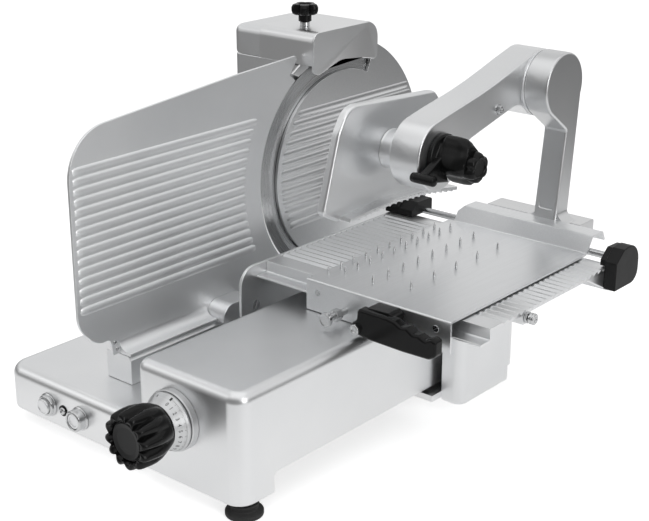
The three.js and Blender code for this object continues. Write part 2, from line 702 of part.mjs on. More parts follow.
function bladeCover() {
  const outline = [
    ...arc(BLADE_CENTRE, COVER_RADIUS, GUARD_UPPER, 360 + GUARD_LOWER, 6),
    ...arc(BLADE_CENTRE, GUARD_RADIUS, GUARD_LOWER, GUARD_UPPER, 6),
  ];
  const disc = prism('x', outline, [COVER_BACK, COVER_FACE]);
  const flutes = Array.from({ length: FLUTE_COUNT }, (_, i) => {
    const z = FLUTE_TOP - i * FLUTE_PITCH;
    const reach = Math.sqrt((COVER_RADIUS - 7) ** 2 - (z - BLADE_Z) ** 2);
    return rib([BLADE_Y - reach, BLADE_Y + reach], z, FLUTE_HALF, [COVER_FACE, FLUTE_PROUD]);
  });
  return join(disc, ...flutes);
}

function guardRing() {
  const inner = GUARD_RADIUS - GUARD_WIDTH;
  const across = [TOWER_RIGHT + GAP, COVER_BACK - GAP];
  const outline = [
    ...arc(BLADE_CENTRE, GUARD_RADIUS, GUARD_LOWER, GUARD_UPPER, 6),
    ...arc(BLADE_CENTRE, inner, GUARD_UPPER, GUARD_LOWER, 6),
  ];
  const reach = Math.sqrt((inner + GUARD_WIDTH / 2) ** 2 - GUARD_ARM_OFFSET ** 2);
  const arms = [-1, 1].map((side) => {
    const middle = BLADE_Z + side * GUARD_ARM_OFFSET;
    return box(
      [TOWER_RIGHT + GAP, BLADE_BACK - SHAFT_FLANGE_THICKNESS],
      [TOWER_REAR - GUARD_ARM_LAP, BLADE_Y + reach - 8],
      [middle - GUARD_ARM / 2, middle + GUARD_ARM / 2],
    );
  });
  return join(prism('x', outline, across), ...arms);
}

function sharpenerCover() {
  const main = casting(
    rectangle([SHARPENER_STEP_X, SHARPENER_RIGHT], [SHARPENER_FRONT, SHARPENER_REAR], SHARPENER_EDGE + 2),
    [SHARPENER_BOTTOM, SHARPENER_TOP], SHARPENER_EDGE);
  const small = casting(
    rectangle(
      [SHARPENER_LEFT, SHARPENER_STEP_X + 2 * SHARPENER_EDGE],
      [SHARPENER_FRONT + SHARPENER_STEP, SHARPENER_REAR - SHARPENER_STEP],
      SHARPENER_EDGE + 2,
    ),
    [SHARPENER_BOTTOM, SHARPENER_TOP - SHARPENER_STEP], SHARPENER_EDGE);
  const hollow = casting(
    rectangle(
      [SHARPENER_LEFT + SHARPENER_WALL, SHARPENER_RIGHT - SHARPENER_WALL],
      [SHARPENER_FRONT + SHARPENER_STEP + SHARPENER_WALL, SHARPENER_REAR - SHARPENER_STEP - SHARPENER_WALL],
      SHARPENER_EDGE + 2 - SHARPENER_WALL,
    ),
    [SHARPENER_BOTTOM - THROUGH, SHARPENER_TOP - SHARPENER_STEP - SHARPENER_WALL],
    SHARPENER_EDGE - SHARPENER_WALL,
  );
  const low = SHARPENER_BOTTOM - SHARPENER_FLAP;
  const flap = prism('x', rounded([
    [SHARPENER_FRONT + SHARPENER_EDGE, SHARPENER_BOTTOM + SHARPENER_EDGE],
    [SHARPENER_FRONT + SHARPENER_EDGE, low + 3],
    [SHARPENER_FRONT + 16, low + 3],
    [BLADE_Y - 28, SHARPENER_BOTTOM - SHARPENER_ARCH, 8],
    [BLADE_Y + 8, SHARPENER_BOTTOM - SHARPENER_ARCH, 8],
    [SHARPENER_REAR - 4, low],
    [SHARPENER_REAR - SHARPENER_EDGE + 8, SHARPENER_BOTTOM + SHARPENER_EDGE],
  ]), [SHARPENER_RIGHT - SHARPENER_WALL, SHARPENER_RIGHT]);
  const stemHole = rod(
    'z', [KNOB_X, KNOB_Y], KNOB_STEM + GAP, [SHARPENER_TOP - 20, SHARPENER_TOP + THROUGH], 16);
  return cut(join(cut(join(main, small), hollow), flap), stemHole);
}

function sharpenerKnob() {
  const under = SHARPENER_TOP + KNOB_RISE;
  const centre = [KNOB_X, KNOB_Y];
  const lobes = Array.from({ length: KNOB_LOBES }, (_, i) => turned(
    'z', polar(centre, KNOB_STAR, (360 * i) / KNOB_LOBES),
    [[0, under], [KNOB_LOBE, under + 2], [KNOB_LOBE, under + KNOB_THICKNESS - 3],
      [KNOB_LOBE - 2, under + KNOB_THICKNESS], [0, under + KNOB_THICKNESS]],
    10));
  const core = rod('z', centre, KNOB_STAR - 1, [under + 1, under + KNOB_THICKNESS - 1], 16);
  const stem = rod('z', centre, KNOB_STEM, [SHARPENER_BOTTOM + 14, under + 2], 12);
  const collar = rod('z', centre, KNOB_COLLAR, [SHARPENER_TOP + GAP, under + 2], 16);
  return join(core, stem, collar, ...lobes);
}

// The bracket stands on the tower and holds both stones' spindles
function sharpenerBracket() {
  const bottom = TOWER_TOP + GAP;
  const top = SHARPENER_TOP - SHARPENER_STEP - SHARPENER_WALL - GAP;
  const block = box(
    [TOWER_LEFT + 15, KNOB_X - 8],
    [TOWER_FRONT + BRACKET_FRONT_ROOM, TOWER_REAR - BRACKET_REAR_ROOM],
    [bottom, top],
  );
  const holes = [-1, 1].map((side) => rod(
    'x', [BLADE_Y + side * STONE_SPREAD, stoneHeight()], STONE_SPINDLE + GAP,
    [KNOB_X - STONE_BORE, KNOB_X], 12));
  return cut(block, ...holes);
}

const stoneHeight = () => TOWER_TOP + GAP + STONE_RADIUS + 2;

// A stone on its spindle: the first works on the blade's back, the second on its front
function stone(side, [from, to]) {
  const centre = [BLADE_Y + side * STONE_SPREAD, stoneHeight()];
  const wheel = rod('x', centre, STONE_RADIUS, [from, to], 20);
  const spindle = rod('x', centre, STONE_SPINDLE, [KNOB_X - STONE_BORE + 1, from + 1], 12);
  return join(wheel, spindle);
}

function gaugePlate() {
  const left = PLATE_FACE - PLATE_THICKNESS;
  const edge = BLADE_RADIUS + PLATE_CUTOUT;
  const angleAt = (y) => 180 + THREE.MathUtils.radToDeg(Math.acos((BLADE_Y - y) / edge));
  const notchAngle = THREE.MathUtils.radToDeg(Math.atan2(PLATE_NOTCH_Z - BLADE_Z, PLATE_NOTCH_Y - BLADE_Y)) - 1.5;
  const bottom = BEAM_TOP + GAP;
  const outline = [
    ...rounded([
      [PLATE_NOTCH_Y, PLATE_NOTCH_Z],
      [PLATE_PEAK_Y + PLATE_TAB_REACH, SHARPENER_BOTTOM - RUNNING],
      [PLATE_PEAK_Y, SHARPENER_BOTTOM - RUNNING],
      [PLATE_PEAK_Y, PLATE_PEAK_Z, 1.5],
      [PLATE_MID_Y, PLATE_MID_Z],
      [PLATE_FRONT, PLATE_CORNER_Z, PLATE_CORNER_ROUND],
      [PLATE_FRONT, PLATE_LOW_RISE, PLATE_LOW_ROUND],
      [PLATE_LOW_START, PLATE_LOW, PLATE_LOW_ROUND],
      [BEAM_FRONT, PLATE_LOW],
      [BEAM_FRONT, bottom],
      [BEAM_REAR, bottom],
    ]),
    ...arc(BLADE_CENTRE, edge, angleAt(BEAM_REAR), notchAngle, 5),
  ];
  const plate = prism('x', outline, [left, PLATE_FACE]);
  const footCentre = [PLATE_FACE + PLATE_FOOT_RADIUS, bottom + PLATE_FOOT_RISE + PLATE_FOOT_RADIUS];
  const footOutline = [
    [left + 1, bottom],
    [PLATE_FACE + PLATE_FOOT_WIDTH, bottom],
    [PLATE_FACE + PLATE_FOOT_WIDTH, bottom + PLATE_FOOT_RISE],
    ...arc(footCentre, PLATE_FOOT_RADIUS, 270, 180),
    [left + 1, footCentre[1]],
  ];
  const guideSeat = box(
    [PLATE_FACE, PLATE_FACE + PLATE_FOOT_WIDTH + THROUGH],
    [GUIDE_FRONT - GAP, GUIDE_REAR + GAP],
    [bottom - THROUGH, GUIDE_TOP],
  );
  const foot = cut(prism('y', footOutline, [BEAM_FRONT, BEAM_REAR]), guideSeat);
  const ribs = Array.from({ length: RIB_COUNT }, (_, i) => {
    const z = RIB_BOTTOM + i * RIB_PITCH;
    const end = BLADE_Y - Math.sqrt(RIB_END_RADIUS ** 2 - (z - BLADE_Z) ** 2);
    return rib([RIB_START, end], z, RIB_HALF, [PLATE_FACE, RIB_PROUD]);
  });
  return join(plate, foot, ...ribs);
}

function gaugeBeam() {
  const outside = [
    [BEAM_LEFT, ON_SLAB], [BEAM_RIGHT, ON_SLAB], [BEAM_RIGHT, BEAM_TOP - BEAM_CHAMFER],
    [BEAM_RIGHT - BEAM_CHAMFER, BEAM_TOP], [BEAM_LEFT, BEAM_TOP],
  ];
  const hollow = box(
    [BEAM_LEFT + BEAM_WALL, BEAM_RIGHT - BEAM_WALL],
    [BEAM_FRONT + BEAM_WALL, BEAM_REAR - BEAM_WALL],
    [ON_SLAB - THROUGH, BEAM_TOP - BEAM_WALL],
  );
  const slot = box(
    [carrierLeft() - GAUGE_TRAVEL - RUNNING, carrierLeft() + CARRIER_WIDTH + RUNNING],
    [PUSH_ROD_Y - CARRIER_DEPTH / 2 - RUNNING, PUSH_ROD_Y + CARRIER_DEPTH / 2 + RUNNING],
    [BEAM_TOP - 2 * BEAM_WALL, BEAM_TOP + THROUGH],
  );
  const rodHole = rod(
    'x', [PUSH_ROD_Y, DIAL_Z], PUSH_ROD_RADIUS + RUNNING,
    [BEAM_RIGHT - BEAM_WALL - THROUGH, BEAM_RIGHT + THROUGH], 16);
  return cut(prism('y', outside, [BEAM_FRONT, BEAM_REAR]), hollow, slot, rodHole);
}

const carrierLeft = () => BEAM_RIGHT - BEAM_WALL - CARRIER_WIDTH - 2;

// The carrier hangs under the gauge plate and ends in the rod that the cam pushes
function gaugeCarrier() {
  const left = carrierLeft();
  const block = box(
    [left, left + CARRIER_WIDTH],
    [PUSH_ROD_Y - CARRIER_DEPTH / 2, PUSH_ROD_Y + CARRIER_DEPTH / 2],
    [DIAL_Z - PUSH_ROD_RADIUS - 3, BEAM_TOP],
  );
  const push = turned('x', [PUSH_ROD_Y, DIAL_Z], [
    [0, left + 2], [PUSH_ROD_RADIUS, left + 2], [PUSH_ROD_RADIUS, DIAL_X - CAM_RADIUS - 3],
    [0, DIAL_X - CAM_RADIUS - RUNNING],
  ], 16);
  return join(block, push);
}

function guideCover() {
  const [left, right] = [PLATE_FACE + GAP, GUIDE_RIGHT];
  const bottom = BEAM_TOP + GAP;
  const outline = rounded([
    [GUIDE_FRONT, bottom], [GUIDE_REAR, bottom], [GUIDE_REAR, GUIDE_TOP, 4], [GUIDE_FRONT, GUIDE_TOP, GUIDE_ROUND],
  ]);
  return prism('x', outline, [left, right]);
}

const indexRing = () => turned('y', DIAL_CENTRE, [
  [SPINDLE_RADIUS + GAP, -INDEX_DEPTH], [INDEX_RADIUS - 1, -INDEX_DEPTH], [INDEX_RADIUS, -INDEX_DEPTH + 1],
  [INDEX_RADIUS, -GAP], [SPINDLE_RADIUS + GAP, -GAP], [SPINDLE_RADIUS + GAP, -INDEX_DEPTH],
], 32);

const dial = () => turned('y', DIAL_CENTRE, [
  [SPINDLE_RADIUS + GAP, DIAL_BACK], [DIAL_RADIUS, DIAL_BACK], [DIAL_RADIUS, DIAL_BACK - 2],
  [DIAL_NECK, KNOB_BACK + GAP], [SPINDLE_RADIUS + GAP, KNOB_BACK + GAP], [SPINDLE_RADIUS + GAP, DIAL_BACK],
], 32);

function thicknessKnob() {
  const core = turned('y', DIAL_CENTRE, [
    [0, KNOB_FRONT + 3], [THICKNESS_KNOB_RADIUS - 8, KNOB_FRONT + 2], [THICKNESS_KNOB_RADIUS - 2, KNOB_FRONT + 6],
    [THICKNESS_KNOB_RADIUS, KNOB_BACK - 18], [DIAL_NECK, KNOB_BACK], [0, KNOB_BACK],
  ], 24);
  const lobes = Array.from({ length: THICKNESS_LOBES }, (_, i) => {
    const place = polar(DIAL_CENTRE, THICKNESS_KNOB_RADIUS, (360 * i) / THICKNESS_LOBES);
    return turned('y', place, [
      [0, KNOB_FRONT], [THICKNESS_LOBE_RADIUS - 1.5, KNOB_FRONT], [THICKNESS_LOBE_RADIUS, KNOB_FRONT + 3],
      [THICKNESS_LOBE_RADIUS, KNOB_BACK - 14], [0, KNOB_BACK - 6],
    ], 8);
  });
  const bore = rod('y', DIAL_CENTRE, SPINDLE_RADIUS + GAP, [KNOB_FRONT + 12, KNOB_BACK + THROUGH], 20);
  return cut(join(core, ...lobes), bore);
}

const thicknessSpindle = () => rod(
  'y', DIAL_CENTRE, SPINDLE_RADIUS, [KNOB_FRONT + 12 + GAP, SPINDLE_END], 20);

// The cam's radius grows with the turn, so that it pushes the gauge plate away
function thicknessCam() {
  const steps = 54;
  const outline = Array.from({ length: steps }, (_, i) => {
    const angle = (360 * i) / steps;
    const lift = GAUGE_TRAVEL * Math.min(angle / CAM_TURN, (360 - angle) / (360 - CAM_TURN));
    return polar(DIAL_CENTRE, CAM_RADIUS + lift, 180 + angle);
  });
  const along = [PUSH_ROD_Y - CAM_WIDTH / 2, PUSH_ROD_Y + CAM_WIDTH / 2];
  const bore = rod('y', DIAL_CENTRE, SPINDLE_RADIUS + GAP, along.map((y, i) => y + (i ? THROUGH : -THROUGH)), 20);
  return cut(prism('y', outline, along), bore);
}

// The bracket hangs from the housing's roof and holds the spindle's far end
function spindleBracket() {
  const top = HOUSING_HEIGHT - CASTING_WALL - GAP;
  const along = [SPINDLE_END - 12, SPINDLE_END - 2];
  const plate = prism('y', rounded([
    [DIAL_X - 14, DIAL_Z - 14, 8], [DIAL_X + 14, DIAL_Z - 14, 8], [DIAL_X + 20, top], [DIAL_X - 20, top],
  ]), along);
  return cut(plate, rod('y', DIAL_CENTRE, SPINDLE_RADIUS + GAP, [along[0] - THROUGH, along[1] + THROUGH], 20));
}

const carriageRail = () => rod(
  'y', [RAIL_X, RAIL_Z], RAIL_RADIUS, [CASTING_WALL + GAP, HOUSING_DEPTH - CASTING_WALL - GAP]);

function carriageBearing() {
  const block = box(
    [RAIL_X - BEARING_BLOCK_WIDTH / 2, RAIL_X + BEARING_BLOCK_WIDTH / 2],
    [BEARING_BLOCK_FRONT, BEARING_BLOCK_REAR],
    [TONGUE_TOP + GAP, BEARING_BLOCK_TOP],
  );
  const bore = rod(
    'y', [RAIL_X, RAIL_Z], RAIL_RADIUS + GAP, [BEARING_BLOCK_FRONT - THROUGH, BEARING_BLOCK_REAR + THROUGH]);
  return cut(block, bore);
}

function apron() {
  const outline = rounded([
    [APRON_LEFT, APRON_FRONT], [APRON_RIGHT, APRON_FRONT, APRON_CORNER],
    [APRON_RIGHT, APRON_REAR, APRON_CORNER], [APRON_LEFT, APRON_REAR],
  ]);
  const block = prism('z', outline, [APRON_BOTTOM, TABLE_UNDER - GAP]);
  const step = box(
    [APRON_LEFT - THROUGH, APRON_RIGHT + THROUGH],
    [APRON_REAR - APRON_STEP, APRON_REAR + THROUGH],
    [APRON_BOTTOM - THROUGH, APRON_STEP_HEIGHT],
  );
  const tongue = box(
    [RAIL_X - BEARING_BLOCK_WIDTH / 2, APRON_LEFT + 2], [TONGUE_FRONT, TONGUE_REAR], [TONGUE_BOTTOM, TONGUE_TOP]);
  return join(cut(block, step), tongue);
}

function carriageTable() {
  const count = Math.floor((TOOTH_END - TOOTH_START) / TOOTH_PITCH);
  const teeth = Array.from({ length: count }, (_, i) => {
    const start = TOOTH_START + i * TOOTH_PITCH;
    return [
      [start, TABLE_TOP],
      [start + 0.3 * TOOTH_PITCH, TABLE_TOP],
      [start + 0.38 * TOOTH_PITCH, TABLE_TOP - TOOTH_DEPTH],
    ];
  }).flat();
  const section = [
    [TABLE_FRONT, TABLE_TOP],
    ...teeth,
    [TOOTH_START + count * TOOTH_PITCH, TABLE_TOP],
    [TABLE_REAR, TABLE_TOP],
    [TABLE_REAR, TABLE_REAR_BOTTOM],
    [TABLE_REAR - TABLE_REAR_WEB, TABLE_REAR_BOTTOM],
    [TABLE_REAR - TABLE_REAR_WEB, TABLE_UNDER],
    [TABLE_FRONT + TABLE_WEB, TABLE_UNDER],
    [TABLE_FRONT + TABLE_WEB, TABLE_WEB_BOTTOM],
    [TABLE_FRONT - TABLE_LIP, TABLE_WEB_BOTTOM],
    [TABLE_FRONT - TABLE_LIP, TABLE_WEB_BOTTOM + TABLE_WEB],
    [TABLE_FRONT, TABLE_WEB_BOTTOM + TABLE_WEB],
  ];
  const deck = prism('x', section, [TABLE_LEFT, TABLE_RIGHT]);
  const cheeks = [ROLLER_FRONT_Y, ROLLER_REAR_Y].map((y) => cut(
    box(
      [ROLLER_RIGHT + RUNNING, ROLLER_RIGHT + RUNNING + ROLLER_CHEEK],
      [y - 9, y + 9],
      [ROLLER_Z - 8, TABLE_UNDER + 1],
    ),
    rod('x', [y, ROLLER_Z], ROLLER_PIN + GAP, [ROLLER_RIGHT, ROLLER_RIGHT + 3 * ROLLER_CHEEK], 16),
  ));
  const lug = cut(
    box(
      [TABLE_RIGHT - EYE_LUG, TABLE_RIGHT],
      [EYE_SCREW_Y - 8, EYE_SCREW_Y + 8],
      [eyeScrewHeight() - EYE_SCREW_RADIUS - 4, TABLE_UNDER + 1],
    ),
    rod('x', [EYE_SCREW_Y, eyeScrewHeight()], EYE_SCREW_RADIUS + GAP,
      [TABLE_RIGHT - EYE_LUG - THROUGH, TABLE_RIGHT + THROUGH], 16),
  );
  const ear = box(
    [TABLE_RIGHT - TABLE_EAR, TABLE_RIGHT],
    [TABLE_REAR - TABLE_REAR_WEB, TABLE_EAR_REAR],
    [TABLE_EAR_BOTTOM, ROD_Z - ROD_RADIUS - GAP],
  );
  return join(deck, ...cheeks, lug, ear);
}

const eyeScrewHeight = () => TABLE_UNDER - EYE_SCREW_RADIUS - THROUGH;

const eyeScrew = () => join(
  turned('x', [EYE_SCREW_Y, eyeScrewHeight()], [
    [0, TABLE_RIGHT - EYE_LUG - 4], [EYE_SCREW_RADIUS, TABLE_RIGHT - EYE_LUG - 4],
    [EYE_SCREW_RADIUS, EYE_SCREW_END - 8], [EYE_SCREW_HEAD, EYE_SCREW_END - 7], [EYE_SCREW_HEAD, EYE_SCREW_END - 1],
    [EYE_SCREW_HEAD - 1, EYE_SCREW_END], [0, EYE_SCREW_END],
  ], 20),
  ring('x', [EYE_SCREW_Y, eyeScrewHeight()], [EYE_SCREW_RADIUS - 1, EYE_SCREW_HEAD],
    [TABLE_RIGHT + GAP, TABLE_RIGHT + 4], 6),
);

function endPlate() {
  const outline = rounded([
    [END_PLATE_FRONT, END_PLATE_BOTTOM, 6], [TABLE_REAR, END_PLATE_BOTTOM, 6],
    [TABLE_REAR, TABLE_TOP], [END_PLATE_FRONT, TABLE_TOP, END_PLATE_ROUND],
  ]);
  return prism('x', outline, [TABLE_LEFT - GAP - END_PLATE, TABLE_LEFT - GAP]);
}

const roller = (y) => turned('x', [y, ROLLER_Z], [
  [0, ROLLER_RIGHT - ROLLER_WIDTH], [ROLLER_RADIUS, ROLLER_RIGHT - ROLLER_WIDTH], [ROLLER_RADIUS, ROLLER_RIGHT],
  [ROLLER_PIN, ROLLER_RIGHT], [ROLLER_PIN, ROLLER_RIGHT + 2 * ROLLER_CHEEK], [0, ROLLER_RIGHT + 2 * ROLLER_CHEEK],
], 24);

const ROD_CENTRE = [ROD_Y, ROD_Z];

const guideRod = () => rod('x', ROD_CENTRE, ROD_RADIUS, [ROD_LEFT, ROD_RIGHT], 20);

const rodBore = (from, to) => rod('x', ROD_CENTRE, ROD_RADIUS + GAP, [from, to], 20);

// The left block sits on the table's rear left corner and over the end plate
function leftBlock() {
  const outline = rounded([
    [LEFT_BLOCK_FRONT, TABLE_TOP + GAP],
    [TABLE_REAR + GAP, TABLE_TOP + GAP],
    [TABLE_REAR + GAP, LEFT_BLOCK_BOTTOM],
    [LEFT_BLOCK_REAR - 12, LEFT_BLOCK_BOTTOM],
    [LEFT_BLOCK_REAR, LEFT_BLOCK_BOTTOM + 10, 4],
    [LEFT_BLOCK_REAR - 16, LEFT_BLOCK_TOP, 5],
    [LEFT_BLOCK_FRONT, LEFT_BLOCK_TOP, 5],
  ]);
  const block = prism('x', outline, [LEFT_BLOCK_LEFT, LEFT_BLOCK_RIGHT]);
  return cut(block, rodBore(ROD_LEFT - GAP, LEFT_BLOCK_RIGHT + THROUGH));
}

// The right block is fixed to the table's right end and has a nose over the table
function rightBlock() {
  const left = TABLE_RIGHT + GAP;
  const outline = rounded([
    [RIGHT_BLOCK_FRONT, RIGHT_BLOCK_BOTTOM, 3], [RIGHT_BLOCK_REAR, RIGHT_BLOCK_BOTTOM, 14],
    [RIGHT_BLOCK_REAR, RIGHT_BLOCK_TOP, 22], [RIGHT_BLOCK_FRONT, RIGHT_BLOCK_TOP, 3],
  ]);
  const body = prism('x', outline, [left, left + RIGHT_BLOCK_WIDTH], 1.5);
  const above = [TABLE_TOP + 2, RIGHT_BLOCK_TOP - 1];
  const nose = prism(
    'x',
    rounded([
      [RIGHT_BLOCK_FRONT + 4, above[0]], [RIGHT_BLOCK_REAR - 4, above[0]],
      [RIGHT_BLOCK_REAR - 4, above[1] - 4, 6], [RIGHT_BLOCK_FRONT + 4, above[1] - 4, 14],
    ]),
    [left - RIGHT_BLOCK_NOSE, left + 3]);
  return cut(join(body, nose), rodBore(left - RIGHT_BLOCK_NOSE - THROUGH, ROD_RIGHT + GAP));
}

// The product plate is one bent sheet: flange, top, fence, lip and hook
function productPlate() {
  const fenceY = PRODUCT_CREASE + FENCE_LEAN;
  const hookY = fenceY + FENCE_LIP;
  const lean = FENCE_LEAN / FENCE_RISE;
  const through = SHEET * Math.hypot(1, lean);
  const section = [
    [PRODUCT_FRONT, FLANGE_BOTTOM],
    [PRODUCT_FRONT + SHEET, FLANGE_BOTTOM],
    [PRODUCT_FRONT + SHEET, PRODUCT_UNDER],
    [PRODUCT_CREASE + through - lean * SHEET, PRODUCT_UNDER],
    [fenceY + through - lean * SHEET, FENCE_TOP - SHEET],
    [hookY - SHEET / 2, FENCE_TOP - SHEET],
    [hookY + FENCE_HOOK_LEAN - SHEET, FENCE_TOP - FENCE_HOOK],
    [hookY + FENCE_HOOK_LEAN, FENCE_TOP - FENCE_HOOK],
    [hookY + SHEET / 2, FENCE_TOP - 1],
    [hookY, FENCE_TOP],
    [fenceY, FENCE_TOP],
    [PRODUCT_CREASE, PRODUCT_TOP],
    [PRODUCT_FRONT + 1, PRODUCT_TOP],
    [PRODUCT_FRONT, PRODUCT_TOP - 1],
  ];
  const sheet = prism('x', section, [PRODUCT_LEFT, PRODUCT_RIGHT]);
  const corner = box(
    [PRODUCT_LEFT - THROUGH, FENCE_LEFT], [PRODUCT_CREASE, hookY + 20], [PRODUCT_UNDER - THROUGH, FENCE_TOP + THROUGH]);
  const clampHole = rod(
    'y', [CLAMP_X, CLAMP_Z], CLAMP_RADIUS + GAP, [PRODUCT_FRONT - THROUGH, PRODUCT_FRONT + SHEET + THROUGH], 16);
  const pivotHole = rod(
    'y', [LEVER_PIVOT_X, LEVER_PIVOT_Z], LEVER_PIVOT_RADIUS + GAP,
    [PRODUCT_FRONT - THROUGH, PRODUCT_FRONT + SHEET + THROUGH], 16);
  return join(cut(sheet, corner, clampHole, pivotHole), ...spikes());
}

// Rows of spikes: place across, first and last place along, and how many
const SPIKE_ROWS = [
  { across: -97, from: 255, to: 466, count: 10 },
  { across: -81, from: 267, to: 479, count: 10 },
  { across: -38, from: 265, to: 469, count: 8 },
  { across: 7, from: 279, to: 456, count: 5 },
];

const spikes = () => SPIKE_ROWS.flatMap(({ across, from, to, count }) =>
  Array.from({ length: count }, (_, i) => turned(
    'z', [across, from + ((to - from) * i) / (count - 1)],
    [[0, PRODUCT_UNDER + 0.5], [SPIKE_RADIUS, PRODUCT_UNDER + 0.5],
      [SPIKE_RADIUS, PRODUCT_TOP + SPIKE_HEIGHT * 0.7], [0, PRODUCT_TOP + SPIKE_HEIGHT]],
    SPIKE_SIDES)));

function clampScrew() {
  const centre = [CLAMP_X, CLAMP_Z];
  const shank = rod('y', centre, CLAMP_RADIUS, [CLAMP_FRONT, CLAMP_REAR], 16);
  const disc = rod('y', centre, CLAMP_DISC, [CLAMP_FRONT, CLAMP_FRONT + 5], 24);
  const nut = rod('y', centre, CLAMP_NUT, [CLAMP_FRONT + 16, CLAMP_FRONT + 26], 6);
  return join(shank, disc, nut);
}

// The lever's grip hangs to the right of its pivot, in front of the flange
function gripLever() {
  const rear = PRODUCT_FRONT - GAP;
  const grip = prism('y', rounded([
    [-16, 134, 5], [6, 131, 6], [60, 131, 20], [80, 130, 12], [100, 132, 9], [101, 152, 8], [75, 151, 12],
    [52, 157, 12], [LEVER_ROOT_RIGHT - 8, 161, 6], [LEVER_PIVOT_X - 8, 149, 8],
  ]), [LEVER_FRONT, LEVER_FRONT + LEVER_THICKNESS], 3);
  const root = prism('y', rounded([
    [LEVER_PIVOT_X, LEVER_PIVOT_Z - 6, 4], [LEVER_ROOT_RIGHT - 6, LEVER_PIVOT_Z + 2, 6],
    [LEVER_ROOT_RIGHT, PRODUCT_TOP - 3, 4], [LEVER_PIVOT_X + 4, PRODUCT_TOP - 3, 8],
  ]), [LEVER_FRONT + LEVER_THICKNESS - 5, rear]);
  const pivot = rod(
    'y', [LEVER_PIVOT_X, LEVER_PIVOT_Z], LEVER_PIVOT_RADIUS + GAP, [LEVER_FRONT - THROUGH, rear + THROUGH], 20);
  return cut(join(grip, root), pivot);
}

const gripPivot = () => turned('y', [LEVER_PIVOT_X, LEVER_PIVOT_Z], [
  [0, LEVER_FRONT - 5], [LEVER_PIVOT_HEAD - 1, LEVER_FRONT - 5], [LEVER_PIVOT_HEAD, LEVER_FRONT - 4],
  [LEVER_PIVOT_HEAD, LEVER_FRONT - GAP], [LEVER_PIVOT_RADIUS, LEVER_FRONT - GAP],
  [LEVER_PIVOT_RADIUS, PRODUCT_FRONT + SHEET + 5], [0, PRODUCT_FRONT + SHEET + 5],
], 20);

function armBracket() {
  const underLip = FENCE_TOP - FENCE_HOOK - SHEET;
  const hookRear = PRODUCT_CREASE + FENCE_LEAN + FENCE_LIP + FENCE_HOOK_LEAN;
  const footOutline = [
    [BRACKET_SADDLE, ROD_Z - 13], [BRACKET_REAR, ROD_Z - 13], [BRACKET_REAR, BRACKET_TOP],
    [hookRear + 3, BRACKET_TOP], [hookRear + 3, underLip], [BRACKET_SADDLE + 7.5, underLip],
    [BRACKET_SADDLE, PRODUCT_UNDER - 1.5],
  ];
  const foot = prism('x', footOutline, [BRACKET_LEFT, BRACKET_RIGHT]);
  const postOutline = [
    [POST_FRONT + 13, BRACKET_TOP - 8],
    [POST_REAR, BRACKET_TOP - 8],
    ...arc(HEAD_CENTRE, HEAD_RADIUS, -20, 235, 10),
    [NOTCH_Y, NOTCH_Z],
    [POST_FRONT, FENCE_TOP + 1.5],
    [POST_FRONT + 13, FENCE_TOP + 1.5],
  ];
  const post = prism('x', postOutline, [POST_LEFT, POST_RIGHT]);
  const pinBore = rod('x', HEAD_CENTRE, PIN_RADIUS + GAP, [POST_LEFT - THROUGH, POST_RIGHT - 4]);
  return cut(join(foot, post), pinBore, rodBore(BRACKET_LEFT - THROUGH, BRACKET_RIGHT + THROUGH));
}

function arm() {
  const span = new THREE.Vector2(HEAD_Y - BOSS_Y, HEAD_Z - BOSS_Z);
  const heading = THREE.MathUtils.radToDeg(span.angle());
  const share = (ARM_HOLLOW_Y - BOSS_Y) / span.x;
  const middle = [BOSS_Y + span.x * share, BOSS_Z + span.y * share];
  const bar = prism('x', [
    polar(BOSS_CENTRE, ARM_BELOW, heading - 90),
    polar(HEAD_CENTRE, ARM_BELOW, heading - 90),
    polar(HEAD_CENTRE, HEAD_RADIUS - 0.2, heading + 90),
    polar(middle, HEAD_RADIUS - ARM_HOLLOW, heading + 90),
    polar(BOSS_CENTRE, HEAD_RADIUS - 0.2, heading + 90),
  ], [ARM_LEFT, ARM_RIGHT]);
  const hub = rod('x', HEAD_CENTRE, HEAD_RADIUS, [ARM_LEFT, POST_LEFT - GAP], 48);
  const end = rod('x', BOSS_CENTRE, HEAD_RADIUS, [ARM_LEFT, ARM_RIGHT], 48);
  const pinBore = rod('x', HEAD_CENTRE, PIN_RADIUS + GAP, [ARM_LEFT + 4, POST_LEFT + THROUGH]);
  const shaftBore = rod(
    'x', BOSS_CENTRE, PUSHER_SHAFT_RADIUS + GAP, [ARM_LEFT - THROUGH, ARM_RIGHT + THROUGH]);
  return cut(join(bar, hub, end), pinBore, shaftBore);
}

const armPin = () => rod('x', HEAD_CENTRE, PIN_RADIUS, [ARM_LEFT + 4 + GAP, POST_RIGHT - 4 - GAP]);

const pusherShaft = () => turned('x', BOSS_CENTRE, [
  [0, PUSHER_FACE + GAP], [PUSHER_HUB_RADIUS, PUSHER_FACE + GAP], [PUSHER_HUB_RADIUS, ARM_LEFT - GAP],
  [PUSHER_SHAFT_RADIUS, ARM_LEFT - GAP], [PUSHER_SHAFT_RADIUS, ARM_RIGHT + CLAMP_KNOB_LENGTH - 15],
  [0, ARM_RIGHT + CLAMP_KNOB_LENGTH - 15],
], 36);

function pusherPlate() {
  const outline = rounded([
    [217, 252, 6], [250, 238], [389, 238], [461, 231, 6], [438, 349, 14], [428, 362, 12], [264, 374, 26],
    [246, 344, 30],
  ]);
  const face = prism('x', outline, [PUSHER_FACE - PUSHER_SHEET, PUSHER_FACE]);
  const rim = prism('x', [
    [250, 238], [389, 238], [461, 231], [461, 231 + PUSHER_SHEET], [389, 238 + PUSHER_SHEET],
    [250, 238 + PUSHER_SHEET],
  ], [PUSHER_FACE - 1, PUSHER_FACE + PUSHER_RIM]);
  return join(face, rim);
}

